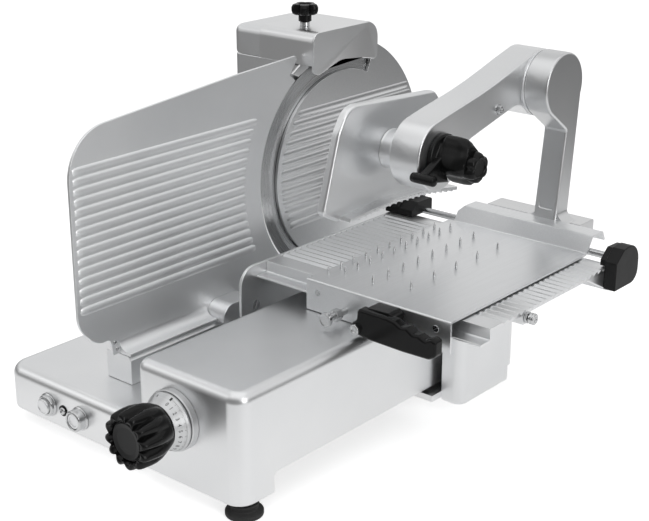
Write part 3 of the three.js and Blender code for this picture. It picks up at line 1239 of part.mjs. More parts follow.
// The clamp knob's wings: their angle and how far they reach from its axis
const CLAMP_KNOB_WINGS = [
  { angle: 95, reach: 28 },
  { angle: -65, reach: 36 },
];

// The clamp knob has two wings, a smaller head in front and one long peg
function clampKnob() {
  const from = ARM_RIGHT + GAP;
  const end = ARM_RIGHT + CLAMP_KNOB_LENGTH;
  const to = end - CLAMP_KNOB_HEAD_DEPTH;
  const core = turned('x', BOSS_CENTRE, [
    [0, from], [CLAMP_KNOB_RADIUS + 1, from], [CLAMP_KNOB_RADIUS + 1, from + 8], [CLAMP_KNOB_RADIUS - 2, from + 14],
    [CLAMP_KNOB_RADIUS - 2, to - 4], [CLAMP_KNOB_HEAD - 2, to], [CLAMP_KNOB_HEAD, to + 2],
    [CLAMP_KNOB_HEAD, end - 3], [CLAMP_KNOB_HEAD - 3, end], [0, end],
  ], 24);
  const lobes = CLAMP_KNOB_WINGS.map(({ angle, reach }) => turned(
    'x', polar(BOSS_CENTRE, reach - CLAMP_KNOB_LOBE, angle),
    [[0, from + 4], [CLAMP_KNOB_LOBE, from + 6], [CLAMP_KNOB_LOBE, to - 3], [CLAMP_KNOB_LOBE - 3, to], [0, to]],
    14));
  const pegPlace = polar(BOSS_CENTRE, CLAMP_PEG_OFFSET, CLAMP_PEG_ANGLE);
  const pegStart = ARM_RIGHT - 5;
  const pegEnd = pegStart + CLAMP_PEG_LENGTH;
  const peg = turned('x', pegPlace, [
    [0, pegStart], [CLAMP_PEG_RADIUS - 2, pegStart], [CLAMP_PEG_RADIUS, pegStart + 2],
    [CLAMP_PEG_RADIUS, pegEnd - 2], [CLAMP_PEG_RADIUS - 2, pegEnd], [0, pegEnd],
  ], 14);
  const web = prism('x', [
    polar(BOSS_CENTRE, 14, CLAMP_PEG_ANGLE - 90), polar(pegPlace, 5, CLAMP_PEG_ANGLE - 90),
    polar(pegPlace, 5, CLAMP_PEG_ANGLE + 90), polar(BOSS_CENTRE, 14, CLAMP_PEG_ANGLE + 90),
  ], [from + 2, from + 12]);
  const bore = rod(
    'x', BOSS_CENTRE, PUSHER_SHAFT_RADIUS + GAP, [from - THROUGH, ARM_RIGHT + CLAMP_KNOB_LENGTH - 15 + GAP], 20);
  return cut(join(core, ...lobes, peg, web), bore);
}

// A finished piece as a named mesh
function piece(name, material, body) {
  const { vertProperties, triVerts } = body.getMesh();
  const geometry = new THREE.BufferGeometry();
  geometry.setAttribute('position', new THREE.BufferAttribute(vertProperties, 3));
  geometry.setIndex(new THREE.BufferAttribute(triVerts, 1));
  geometry.computeVertexNormals();
  const mesh = new THREE.Mesh(geometry, material);
  mesh.name = name;
  return mesh;
}

const base = new THREE.Group().add(
  piece('drive_housing', castAluminium, driveHousing()),
  piece('base_slab', castAluminium, baseSlab()),
  piece('bottom_plate', brushedSteel, bottomPlate()),
  ...Object.entries(footPlaces).map(([name, place]) => piece(name, rubber, foot(place))),
  piece('start_bezel', polishedSteel, bezel(START_ACROSS, START_BEZEL)),
  piece('stop_bezel', polishedSteel, bezel(STOP_ACROSS, STOP_BEZEL)),
  piece('start_button', brushedSteel, button(START_ACROSS, START_PROUD)),
  piece('stop_button', brushedSteel, button(STOP_ACROSS, STOP_PROUD)),
  piece('pilot_lamp', polishedSteel, pilotLamp()),
  piece('power_inlet', blackPlastic, powerInlet()),
  piece('tower', castAluminium, tower()),
  piece('motor', castAluminium, motor()),
  piece('drive_belt', rubber, driveBelt()),
  piece('blade_bearing', brushedSteel, bladeBearing()),
  piece('blade_cover', polishedSteel, bladeCover()),
  piece('guard_ring', castAluminium, guardRing()),
  piece('sharpener_bracket', castAluminium, sharpenerBracket()),
  piece('sharpening_stone', grindingStone, stone(-1, [BLADE_BACK - 4 - STONE_THICKNESS, BLADE_BACK - 4])),
  piece('truing_stone', grindingStone, stone(1, [BLADE_FACE + 4, BLADE_FACE + 4 + STONE_THICKNESS])),
  piece('gauge_beam', castAluminium, gaugeBeam()),
  piece('index_ring', polishedSteel, indexRing()),
  piece('spindle_bracket', brushedSteel, spindleBracket()),
  piece('carriage_rail', polishedSteel, carriageRail()),
);

const movingGroups = [
  new THREE.Group().add(
    piece('motor_pulley', brushedSteel, motorPulley()),
  ),
  new THREE.Group().add(
    piece('blade', polishedSteel, blade()),
    piece('blade_shaft', brushedSteel, bladeShaft()),
    piece('blade_pulley', castAluminium, bladePulley()),
  ),
  new THREE.Group().add(
    piece('sharpener_cover', castAluminium, sharpenerCover()),
    piece('sharpener_knob', blackPlastic, sharpenerKnob()),
  ),
  new THREE.Group().add(
    piece('gauge_plate', castAluminium, gaugePlate()),
    piece('gauge_carrier', brushedSteel, gaugeCarrier()),
    piece('guide_cover', castAluminium, guideCover()),
  ),
  new THREE.Group().add(
    piece('dial', polishedSteel, dial()),
    piece('thickness_knob', blackPlastic, thicknessKnob()),
    piece('thickness_spindle', brushedSteel, thicknessSpindle()),
    piece('thickness_cam', brass, thicknessCam()),
  ),
  new THREE.Group().add(
    piece('carriage_table', castAluminium, carriageTable()),
    piece('carriage_end_plate', castAluminium, endPlate()),
    piece('carriage_apron', castAluminium, apron()),
    piece('carriage_bearing', brushedSteel, carriageBearing()),
    piece('roller_front', blackPlastic, roller(ROLLER_FRONT_Y)),
    piece('roller_rear', blackPlastic, roller(ROLLER_REAR_Y)),
    piece('guide_rod', polishedSteel, guideRod()),
    piece('rod_block_left', blackPlastic, leftBlock()),
    piece('rod_block_right', blackPlastic, rightBlock()),
    piece('eye_screw', polishedSteel, eyeScrew()),
  ),
  new THREE.Group().add(
    piece('product_plate', brushedSteel, productPlate()),
    piece('clamp_screw', polishedSteel, clampScrew()),
    piece('grip_lever', blackPlastic, gripLever()),
    piece('grip_pivot', polishedSteel, gripPivot()),
    piece('arm_bracket', castAluminium, armBracket()),
  ),
  new THREE.Group().add(
    piece('arm', castAluminium, arm()),
    piece('arm_pin', polishedSteel, armPin()),
    piece('pusher_shaft', castAluminium, pusherShaft()),
    piece('pusher_plate', castAluminium, pusherPlate()),
    piece('clamp_knob', blackPlastic, clampKnob()),
  ),
];

// The finished slicer stands centred over its origin
const slicer = new THREE.Group().add(base, ...movingGroups);
const extent = new THREE.Box3().setFromObject(slicer);
const centre = extent.getCenter(new THREE.Vector3());
slicer.position.set(-centre.x, -centre.y, -extent.min.z);

export default slicer;
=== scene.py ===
# Looks for the vertical meat slicer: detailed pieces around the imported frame.
# Shapes are drawn in millimetres from the drive housing's front right bottom corner:
# x to the right, y away from the operator, z up.
import json
import math

import bmesh
import bpy
from mathutils import Matrix, Vector


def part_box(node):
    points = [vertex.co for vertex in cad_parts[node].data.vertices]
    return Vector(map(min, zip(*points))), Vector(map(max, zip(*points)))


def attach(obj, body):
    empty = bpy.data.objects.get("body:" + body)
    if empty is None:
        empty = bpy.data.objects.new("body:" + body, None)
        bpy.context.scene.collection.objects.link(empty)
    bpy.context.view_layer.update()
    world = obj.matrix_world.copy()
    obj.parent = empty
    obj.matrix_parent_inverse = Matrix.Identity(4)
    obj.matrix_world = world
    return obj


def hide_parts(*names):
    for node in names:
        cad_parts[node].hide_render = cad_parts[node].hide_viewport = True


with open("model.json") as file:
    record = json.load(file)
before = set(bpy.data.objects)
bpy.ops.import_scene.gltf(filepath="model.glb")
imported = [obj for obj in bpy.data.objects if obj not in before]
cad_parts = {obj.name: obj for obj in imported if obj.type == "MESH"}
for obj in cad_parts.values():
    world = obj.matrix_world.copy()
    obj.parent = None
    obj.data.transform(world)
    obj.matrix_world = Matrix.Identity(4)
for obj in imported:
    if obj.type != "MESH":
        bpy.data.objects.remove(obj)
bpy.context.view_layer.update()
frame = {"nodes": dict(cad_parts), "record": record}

housing_low, housing_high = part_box("drive_housing")
CORNER = Vector((housing_high.x, housing_low.y, housing_low.z))
TO_FRAME = Matrix.Translation(CORNER) @ Matrix.Scale(0.001, 4)


def in_frame(x, y, z):
    """A drawing point as a place in the frame, in metres."""
    return TO_FRAME @ Vector((x, y, z))


def corners(node):
    """A node's lowest and highest corner in drawing millimetres."""
    return [1000 * (point - CORNER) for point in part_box(node)]


def middle(low, high, plane):
    """The middle between two corners in two axes, such as xz."""
    return tuple((getattr(low, axis) + getattr(high, axis)) / 2 for axis in plane)


# Camera and lamps

def add_object(name, data):
    made = bpy.data.objects.new(name, data)
    bpy.context.scene.collection.objects.link(made)
    return made


def aim(thing, place, direction):
    """Puts a camera or lamp at a place, looking along a direction."""
    thing.location = place
    thing.rotation_mode = "QUATERNION"
    thing.rotation_quaternion = Vector(direction).to_track_quat("-Z", "Y")


SENSOR_WIDTH = 36
LENS = 76.8
CAMERA_PLACE = (890.3, -909.8, 747.2)
CAMERA_DIRECTION = (-0.609, 0.7141, -0.3453)

camera = add_object("camera", bpy.data.cameras.new("camera"))
camera.data.sensor_width = SENSOR_WIDTH
camera.data.lens = LENS
camera.data.clip_start = 0.05
camera.data.clip_end = 20
aim(camera, in_frame(*CAMERA_PLACE), CAMERA_DIRECTION)
bpy.context.scene.camera = camera
bpy.context.scene.view_settings.view_transform = "Standard"

# The lamps' powers, and the place in metres that they point at
OVERHEAD_WATTS = 9
LEFT_WATTS = 2.5
RIGHT_WATTS = 11
LIT_PLACE = Vector((0, 0, 0.22))


def softbox(name, place, size, watts):
    """A large lamp that points at the middle of the slicer."""
    lamp = bpy.data.lights.new(name, "AREA")
    lamp.shape = "RECTANGLE"
    lamp.size, lamp.size_y = size
    lamp.energy = watts
    aim(add_object(name, lamp), place, LIT_PLACE - Vector(place))


softbox("overhead_softbox", (0.1, -0.2, 2.0), (2.4, 2.4), OVERHEAD_WATTS)
softbox("left_softbox", (-1.7, -1.5, 1.1), (1.2, 1.4), LEFT_WATTS)
softbox("right_softbox", (2.1, -0.5, 0.9), (0.8, 1.5), RIGHT_WATTS)


# Finishes

class Value:
    """One socket of a finish. Sums, differences and products of it add Math nodes."""

    def __init__(self, finish, socket):
        self.finish = finish
        self.socket = socket

    def math(self, operation, first, second):
        return self.finish.node("ShaderNodeMath", {"operation": operation}, {0: first, 1: second})

    def __add__(self, other):
        return self.math("ADD", self, other)

    def __sub__(self, other):
        return self.math("SUBTRACT", self, other)

    def __mul__(self, other):
        return self.math("MULTIPLY", self, other)

    def __rsub__(self, other):
        return self.math("SUBTRACT", other, self)

    __radd__ = __add__
    __rmul__ = __mul__

    def between(self, low, high):
        """0 at or below low, 1 at or above high, even in between."""
        inputs = {"Value": self, "From Min": low, "From Max": high}
        return self.finish.node("ShaderNodeMapRange", {"clamp": True}, inputs)


class Shader:
    """A node tree that is built up from sockets."""

    def __init__(self, owner):
        owner.use_nodes = True
        self.tree = owner.node_tree
        self.tree.nodes.clear()

    def node(self, kind, settings=None, inputs=None, output=0):
        """Adds a node: its settings first, then the values or links of its sockets."""
        node = self.tree.nodes.new(kind)
        for name, value in (settings or {}).items():
            setattr(node, name, value)
        for name, value in (inputs or {}).items():
            if isinstance(value, Value):
                self.tree.links.new(value.socket, node.inputs[name])
            else:
                node.inputs[name].default_value = value
        return Value(self, node.outputs[output]) if node.outputs else None


class Finish(Shader):
    """A finish of the slicer: its material, and the record's slot that it belongs to."""

    def __init__(self, name, slot):
        self.slot = slot
        self.material = bpy.data.materials.new(name)
        super().__init__(self.material)

    def place(self):
        """The point on the piece, in metres, as it was before any pose."""
        return self.node("ShaderNodeTexCoord", output="Object")

    def grain(self, stretch, detail=3.0):
        """Noise with this many grains per metre along x, y and z."""
        point = self.node("ShaderNodeMapping", None, {"Vector": self.place(), "Scale": stretch})
        return self.node("ShaderNodeTexNoise", None, {"Vector": point, "Scale": 1.0, "Detail": detail})

    def edges(self):
        """1 along a piece's rounded edges and 0 on its flats."""
        return self.node("ShaderNodeNewGeometry", output="Pointiness").between(0.51, 0.58)

    def mix(self, share, first, second):
        """A colour between two colours."""
        return self.node("ShaderNodeMix", {"data_type": "RGBA"}, {0: share, 6: first, 7: second}, output=2)

    def vector_math(self, operation, *values, output="Vector"):
        settings = {"operation": operation}
        return self.node("ShaderNodeVectorMath", settings, dict(enumerate(values)), output)

    def bump(self, height, millimetres, strength=1.0):
        inputs = {"Height": height, "Distance": millimetres / 1000, "Strength": strength}
        return self.node("ShaderNodeBump", None, inputs)

    def done(self, sockets):
        """Adds the shader with these sockets, and the output."""
        shader = self.node("ShaderNodeBsdfPrincipled", None, sockets)
        self.node("ShaderNodeOutputMaterial", None, {"Surface": shader})
        return self


def grey(level, blue=0.0):
    """A grey, a little bluish if blue is above 0."""
    return (level * (1 - blue), level, level * (1 + blue), 1.0)


def satin_casting(name, level, slot="cast_aluminium", roughness=0.36):
    """Blasted aluminium: a fine even grain, soft clouds and brighter worn edges."""
    finish = Finish(name, slot)
    clouds = finish.grain((9, 9, 9), 4)
    specks = finish.grain((1500, 1500, 1500), 2)
    worn = finish.edges()
    tone = finish.mix(clouds.between(0.3, 0.7), grey(level * 0.95, 0.012), grey(level, 0.008))
    return finish.done({
        "Base Color": finish.mix(worn * 0.5, tone, grey(min(0.95, level * 1.12))),
        "Metallic": 1.0,
        "Roughness": roughness + 0.06 * clouds + 0.05 * specks - 0.08 * worn,
        "Normal": finish.bump(specks, 0.03, 0.5),
    })


def brushed_steel(name, level, stretch, slot="brushed_steel", roughness=0.24):
    """Steel sheet with long fine scratches, and a few broader ones."""
    finish = Finish(name, slot)
    fine = finish.grain(stretch, 3)
    broad = finish.grain(tuple(part * 0.22 for part in stretch), 2)
    clouds = finish.grain((7, 7, 7), 2)
    tone = finish.mix(fine.between(0.25, 0.75), grey(level * 0.93, 0.01), grey(level, 0.01))
    return finish.done({
        "Base Color": tone,
        "Metallic": 1.0,
        "Roughness": roughness + 0.08 * fine + 0.05 * clouds,
        "Normal": finish.bump(fine * 0.7 + broad * 0.3, 0.02, 0.35),
    })


def turned_steel(name, level, centre, along, slot="polished_steel", roughness=0.2, pitch=1400):
    """Steel that was turned or ground round an axis, so its marks are rings round that axis."""
    finish = Finish(name, slot)
    from_centre = finish.vector_math("SUBTRACT", finish.place(), centre)
    flat = tuple(0.0 if axis == along else 1.0 for axis in "xyz")
    across = finish.vector_math("MULTIPLY", from_centre, flat)
    radius = finish.vector_math("LENGTH", across, output="Value")
    settings = {"noise_dimensions": "1D"}
    rings = finish.node("ShaderNodeTexNoise", settings, {"W": radius, "Scale": pitch, "Detail": 3.0})
    clouds = finish.grain((14, 14, 14), 3)
    return finish.done({
        "Base Color": finish.mix(rings.between(0.3, 0.7), grey(level * 0.92, 0.01), grey(level, 0.01)),
        "Metallic": 1.0,
        "Roughness": roughness + 0.08 * rings + 0.04 * clouds,
        "Normal": finish.bump(rings, 0.012, 0.4),
    })


def moulded_plastic(name, level, roughness, slot="black_plastic"):
    """Glossy moulded plastic with a faint ripple and slightly dulled edges."""
    finish = Finish(name, slot)
    ripple = finish.grain((60, 60, 60), 2)
    specks = finish.grain((900, 900, 900), 2)
    worn = finish.edges()
    return finish.done({
        "Base Color": finish.mix(worn * 0.6, grey(level, 0.02), grey(level * 2.4, 0.02)),
        "Roughness": roughness + 0.1 * ripple + 0.05 * specks + 0.06 * worn,
        "Normal": finish.bump(ripple * 0.8 + specks * 0.2, 0.08, 0.4),
        "Specular IOR Level": 0.22,
    })


def matt_rubber():
    finish = Finish("matt_rubber", "rubber")
    specks = finish.grain((700, 700, 700), 3)
    dust = finish.grain((45, 45, 45), 4).between(0.5, 0.8)
    return finish.done({
        "Base Color": finish.mix(dust * 0.4, grey(0.018), grey(0.05)),
        "Roughness": 0.62 + 0.2 * specks,
        "Normal": finish.bump(specks, 0.1, 0.5),
    })


def bonded_stone():
    finish = Finish("bonded_stone", "grinding_stone")
    grains = finish.node("ShaderNodeTexVoronoi", None, {"Vector": finish.place(), "Scale": 1600.0})
    clouds = finish.grain((90, 90, 90), 4)
    return finish.done({
        "Base Color": finish.mix(grains, (0.30, 0.27, 0.23, 1), (0.18, 0.165, 0.15, 1)),
        "Roughness": 0.85 + 0.1 * clouds,
        "Normal": finish.bump(grains, 0.2, 0.8),
    })


def worn_brass():
    finish = Finish("worn_brass", "brass")
    fine = finish.grain((700, 90, 700), 3)
    clouds = finish.grain((30, 30, 30), 4)
    return finish.done({
        "Base Color": finish.mix(clouds.between(0.3, 0.7), (0.62, 0.45, 0.18, 1), (0.72, 0.54, 0.24, 1)),
        "Metallic": 1.0,
        "Roughness": 0.26 + 0.14 * fine,
        "Normal": finish.bump(fine, 0.02, 0.4),
    })


def axis_point(node):
    """The middle of a turned node, in frame metres."""
    low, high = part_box(node)
    return tuple((low + high) / 2)


CASTING = satin_casting("satin_casting", 0.9, roughness=0.32)
ARM_CASTING = satin_casting("arm_casting", 0.88, roughness=0.3)
BRACKET_CASTING = satin_casting("bracket_casting", 0.76, roughness=0.3)
PLATE_CASTING = satin_casting("plate_casting", 0.93, roughness=0.42)
COVER_STEEL = brushed_steel("cover_steel", 0.78, (600, 600, 600), "polished_steel", 0.26)
SHEET_STEEL = brushed_steel("sheet_steel", 0.9, (900, 14, 900), roughness=0.31)
PLAIN_STEEL = brushed_steel("plain_steel", 0.6, (300, 300, 300), roughness=0.3)
BLADE_STEEL = turned_steel("blade_steel", 0.62, axis_point("blade"), "x", roughness=0.22)
DIAL_STEEL = turned_steel("dial_steel", 0.7, axis_point("dial"), "y", roughness=0.26)
BRIGHT_STEEL = brushed_steel("bright_steel", 0.68, (120, 120, 120), "polished_steel", 0.14)
KNOB_PLASTIC = moulded_plastic("knob_plastic", 0.004, 0.12)
KNOB_DISC = moulded_plastic("knob_disc", 0.016, 0.3)
BLOCK_PLASTIC = moulded_plastic("block_plastic", 0.007, 0.3)
DIAL_PAINT = moulded_plastic("dial_paint", 0.03, 0.45)
RUBBER = matt_rubber()
STONE = bonded_stone()
BRASS = worn_brass()


# Outlines

SQUARE = ((-1, -1), (1, -1), (1, 1), (-1, 1))


def polar(centre, radius, degrees):
    turn = math.radians(degrees)
    return (centre[0] + radius * math.cos(turn), centre[1] + radius * math.sin(turn))


def arc(centre, radius, start, end, step=5):
    """Points along an arc, both ends included."""
    count = max(2, math.ceil(abs(end - start) / step))
    return [polar(centre, radius, start + (end - start) * i / count) for i in range(count + 1)]


def rectangle(across, along, radius=0):
    (u0, u1), (v0, v1) = across, along
    return [(u0, v0, radius), (u1, v0, radius), (u1, v1, radius), (u0, v1, radius)]


def fillet(before, here, after, radius, steps):
    """The arc that replaces one sharp corner."""
    back, ahead = (before - here).normalized(), (after - here).normalized()
    half = math.acos(max(-1, min(1, back.dot(ahead)))) / 2
    if half > 1.5:
        return [tuple(here)] * (steps + 1)
    centre = here + (back + ahead).normalized() * (radius / math.sin(half))
    first = here + back * (radius / math.tan(half)) - centre
    last = here + ahead * (radius / math.tan(half)) - centre
    sweep = math.atan2(first.x * last.y - first.y * last.x, first.dot(last))
    start = math.degrees(math.atan2(first.y, first.x))
    return [polar(centre, radius, start + math.degrees(sweep) * i / steps) for i in range(steps + 1)]


def outline(points, inset=0.0, steps=6):
    """A closed outline from corners (u, v, rounding), drawn in by an inset."""
    flat = [Vector(point[:2]) for point in points]
    count = len(flat)
    area = sum(flat[i - 1].x * flat[i].y - flat[i].x * flat[i - 1].y for i in range(count))
    side = 1 if area > 0 else -1
    moved, turns = [], []
    for i, here in enumerate(flat):
        arriving = (here - flat[i - 1]).normalized()
        leaving = (flat[(i + 1) % count] - here).normalized()
        normals = Vector((-arriving.y, arriving.x)) * side, Vector((-leaving.y, leaving.x)) * side
        moved.append(here + (normals[0] + normals[1]) * (inset / (1 + normals[0].dot(normals[1]))))
        turns.append(side * (arriving.x * leaving.y - arriving.y * leaving.x))
    line = []
    for i, here in enumerate(moved):
        radius = points[i][2] if len(points[i]) > 2 else 0
        if radius > 0:
            radius = max(0.05, radius - inset if turns[i] > 0 else radius + inset)
            line += fillet(moved[i - 1], here, moved[(i + 1) % count], radius, steps)
        else:
            line.append(tuple(here))
    return line


def open_line(points, steps=6):
    """An open line from points (u, v, rounding), rounded between its ends."""
    line = [tuple(points[0][:2])]
    for before, here, after in zip(points, points[1:], points[2:]):
        if len(here) > 2 and here[2] > 0:
            line += fillet(Vector(before[:2]), Vector(here[:2]), Vector(after[:2]), here[2], steps)
        else:
            line.append(tuple(here[:2]))
    return line + [tuple(points[-1][:2])]


def sheet_section(points, thickness, steps=6):
    """The closed section of a bent sheet whose left face follows a line."""
    face = [Vector(point) for point in open_line(points, steps)]
    back = []
    for i, here in enumerate(face):
        arriving = (here - face[i - 1]).normalized() if i else (face[1] - here).normalized()
        leaving = (face[i + 1] - here).normalized() if i + 1 < len(face) else arriving
        normals = Vector((arriving.y, -arriving.x)), Vector((leaving.y, -leaving.x))
        back.append(here + (normals[0] + normals[1]) * (thickness / (1 + normals[0].dot(normals[1]))))
    return [tuple(point) for point in face] + [tuple(point) for point in reversed(back)]


# Solid shapes

def along_axis(axis, u, v, along):
    """A point of an outline that is drawn in (y, z), (x, z) or (x, y)."""
    return {"x": (along, u, v), "y": (u, along, v), "z": (u, v, along)}[axis]


def shape(points, faces):
    mesh = bpy.data.meshes.new("shape")
    mesh.from_pydata(points, [], faces)
    work = bmesh.new()
    work.from_mesh(mesh)
    bmesh.ops.remove_doubles(work, verts=work.verts, dist=1e-5)
    bmesh.ops.recalc_face_normals(work, faces=work.faces)
    work.to_mesh(mesh)
    work.free()
    return mesh


def skin(rings):
    """A closed shape through rings of equally many points."""
    count = len(rings[0])
    faces = [tuple(range(count)), tuple(range((len(rings) - 1) * count, len(rings) * count))]
    for level in range(len(rings) - 1):
        for i in range(count):
            j = (i + 1) % count
            low = level * count
            faces.append((low + i, low + j, low + count + j, low + count + i))
    return shape([point for ring in rings for point in ring], faces)


def rounded_end(edge, steps):
    """Down a rounded edge: how far the outline is drawn in, and how far that is from the end."""
    if not edge:
        return [(0.0, 0.0)]
    turns = [math.pi / 2 * i / steps for i in range(steps + 1)]
    return [(edge * (1 - math.sin(turn)), edge * (1 - math.cos(turn))) for turn in turns]


def block(axis, points, span, edges=(0.0, 0.0), edge_steps=4, corner_steps=6):
    """An outline pushed along an axis, with its two end edges rounded."""
    start, end = span
    levels = [(inset, start + back) for inset, back in rounded_end(edges[0], edge_steps)]
    levels += [(inset, end - back) for inset, back in reversed(rounded_end(edges[1], edge_steps))]
    return skin([
        [along_axis(axis, u, v, along) for u, v in outline(points, inset, corner_steps)]
        for inset, along in levels])


def turned(axis, centre, profile, segments=64, steps=4):
    """A turned shape; its profile is (radius, place along the axis, rounding)."""
    closed = profile[0][:2] == profile[-1][:2]
    line = outline(profile[:-1], 0, steps) if closed else open_line(profile, steps)
    rows, points, faces = [], [], []
    for radius, along in line:
        count = segments if radius > 1e-6 else 1
        rows.append([len(points) + i for i in range(count)])
        for i in range(count):
            u, v = polar(centre, radius, 360 * i / segments)
            points.append(along_axis(axis, u, v, along))
    pairs = list(zip(rows, rows[1:])) + ([(rows[-1], rows[0])] if closed else [])
    for low, high in pairs:
        for i in range(segments):
            j = (i + 1) % segments
            face = [low[i % len(low)], low[j % len(low)], high[j % len(high)], high[i % len(high)]]
            if len(low) == 1:
                face.pop(0)
            elif len(high) == 1:
                face.pop()
            if len(low) > 1 or len(high) > 1:
                faces.append(tuple(face))
    return shape(points, faces)


def rod(axis, centre, radius, span, edge=0.4, segments=48):
    start, end = span
    profile = [(0, start), (radius, start, edge), (radius, end, edge), (0, end)]
    return turned(axis, centre, profile, segments, 3)


def lobed(axis, centre, stations, count, turn=0.0, segments=160):
    """A shape with rounded lobes; its stations are (radius, place, depth between the lobes)."""
    rings = []
    for radius, along, depth in stations:
        ring = []
        for i in range(segments):
            angle = 360 * i / segments
            between = 1 - abs(math.cos(math.radians(count * (angle - turn) / 2)))
            u, v = polar(centre, radius - depth * between, angle)
            ring.append(along_axis(axis, u, v, along))
        rings.append(ring)
    return skin(rings)


def box(across, along, up):
    return block("z", rectangle(across, along), up)


def joined(*shapes):
    """Several shapes as one mesh."""
    work = bmesh.new()
    for mesh in shapes:
        work.from_mesh(mesh)
    whole = bpy.data.meshes.new("joined")
    work.to_mesh(whole)
    work.free()
    return whole


def as_mesh(thing):
    """What an object's modifiers make of it, as a new mesh."""
    return bpy.data.meshes.new_from_object(thing.evaluated_get(bpy.context.evaluated_depsgraph_get()))


def cut(body, *tools, operation="DIFFERENCE"):
    """The body without what the tools take away."""
    holder = add_object("holder", body)
    cutters = [add_object("cutter", tool) for tool in tools]
    for cutter in cutters:
        modifier = holder.modifiers.new("cut", "BOOLEAN")
        modifier.solver = "EXACT"
        modifier.operation = operation
        modifier.object = cutter
    rest = as_mesh(holder)
    for used in (holder, *cutters):
        bpy.data.objects.remove(used)
    return rest


def fused(body, *others):
    return cut(body, *others, operation="UNION")


def ridge(start, end, z, half, back, proud, taper=6.0):
    """A pressed rib along y on a face that looks along x, rounded in section and at its ends."""
    rings = []
    stations = [i / 5 for i in range(6)]
    places = [(start + taper * (1 - math.cos(math.pi / 2 * t)), t) for t in stations]
    places += [(end - taper * (1 - math.cos(math.pi / 2 * t)), t) for t in reversed(stations)]
    for y, t in places:
        wide = half * max(0.08, math.sqrt(1 - (1 - t) ** 2))
        high = proud * max(0.05, math.sin(math.pi / 2 * t))
        arch = [-1 + i / 5 for i in range(11)]
        ring = [(back + high * (1 - a * a) ** 0.8, y, z + wide * a) for a in arch]
        rings.append(ring + [(back - 0.6, y, z + wide), (back - 0.6, y, z - wide)])
    return skin(rings)


# Pieces

node_bodies = {
    node: body
    for body, nodes in frame["record"]["behaviour"]["bodies"].items()
    for node in nodes}


def piece(name, mesh, finish, body, stands_for=(), crease=32):
    """Finishes a shape: into the frame, smooth, and riding on its body."""
    mesh.name = name
    mesh.transform(TO_FRAME)
    mesh.shade_smooth()
    mesh.set_sharp_from_angle(angle=math.radians(crease))
    made = add_object(name, mesh)
    weighted = made.modifiers.new("even_shading", "WEIGHTED_NORMAL")
    weighted.keep_sharp = True
    made.data = as_mesh(made)
    made.modifiers.clear()
    made.data.materials.clear()
    made.data.materials.append(finish.material)
    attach(made, body)
    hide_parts(*stands_for)
    return made


def finished(node, build, finish, *sizes, crease=32):
    """The detailed piece that stands for a node, built between the node's corners."""
    mesh = build(*corners(node), *sizes)
    return piece("finished_" + node, mesh, finish, node_bodies[node], [node], crease)


def dressed(finish, *nodes):
    """Gives nodes whose shape is right a better material."""
    for node in nodes:
        slots = frame["nodes"][node].data.materials
        slots.clear()
        slots.append(finish.material)


def slotted_screw(axis, centre, radius, span, slot=0.9, turn=35):
    """A round screw head with one slot in the end that span starts with."""
    start, end = span
    out = 1 if end < start else -1
    head = turned(axis, centre, [(0, end), (radius, end), (radius, start, 0.5), (0, start)], 40, 3)
    direction = Vector((math.cos(math.radians(turn)), math.sin(math.radians(turn))))
    half_length = direction * (radius * 1.3)
    half_width = Vector((-direction.y, direction.x)) * slot / 2
    slot_sides = [tuple(Vector(centre) + half_length * a + half_width * b) for a, b in SQUARE]
    return cut(head, block(axis, slot_sides, sorted((start + out * 0.6, start - out * 0.9))))


def hexagon(centre, radius, turn=0):
    """The six corners of a nut or screw head."""
    return [polar(centre, radius, turn + 60 * i) for i in range(6)]


# Drive housing, slab and feet

def drive_housing(low, high):
    """An open box, slotted low in its right side for the carriage's tongue, with bosses for its feet."""
    wall = 5
    sides = [(low.x, low.y, 14), (high.x, low.y, 20), (high.x, high.y, 20), (low.x, high.y, 14)]
    shell = block("z", sides, (low.z, high.z), (1, 12), 8, 8)
    inside = rectangle((low.x + wall, high.x - wall), (low.y + wall, high.y - wall), 9)
    hollow = block("z", inside, (low.z - 9, high.z - wall), (0, 6))
    slot = block("x", rectangle((52, high.y - 40), (-12, 24), 5), (high.x - 9, high.x + 3))
    bosses = [rod("z", (-16, y), 12.5, (1, 28)) for y in (21, high.y - 21)]
    return joined(cut(shell, hollow, slot), *bosses)


def base_slab(low, high):
    sides = [(low.x, low.y, 26), (high.x, low.y, 0), (high.x, high.y, 26), (low.x, high.y, 26)]
    return block("z", sides, (low.z, high.z), (4, 13), 8, 9)


def foot(low, high):
    radius = (high.x - low.x) / 2
    return turned("z", middle(low, high, "xy"), [
        (0, low.z + 1), (radius - 6, low.z + 1, 1), (radius - 5, low.z), (radius, low.z, 1.6),
        (radius, low.z + 5.5, 1.6), (14, low.z + 8, 2), (15.5, high.z - 4, 1),
        (16.3, high.z - 1, 0.5), (0, high.z - 0.5)])


def bottom_plate(low, high):
    """The plate under the base, open below the carriage's slot in the housing."""
    step_x = corners("drive_housing")[0].x - 8
    step_y = corners("drive_housing")[1].y - 8
    sides = [
        (low.x, low.y, 12), (high.x, low.y, 12), (high.x, step_y, 12), (step_x, step_y),
        (step_x, high.y, 12), (low.x, high.y, 12)]
    plate = block("z", sides, (low.z, high.z), (0.3, 0.3), 2)
    opening = block("z", rectangle((-62, high.x + 2), (50, 455), 6), (low.z - 1, high.z + 1))
    return cut(plate, opening)


def bezel(low, high):
    """A barrel with a wide rounded rim round its button."""
    radius = (high.x - low.x) / 2
    bore = 9.7
    return turned("y", middle(low, high, "xz"), [
        (bore, high.y), (bore, low.y + 0.6, 0.4), (10.4, low.y, 0.5), (12.9, low.y, 2.2),
        (12.9, high.y - 2.4, 0.3), (13.4, high.y - 2.2, 0.2), (radius, high.y - 1.4, 0.3),
        (radius, high.y), (bore, high.y)])


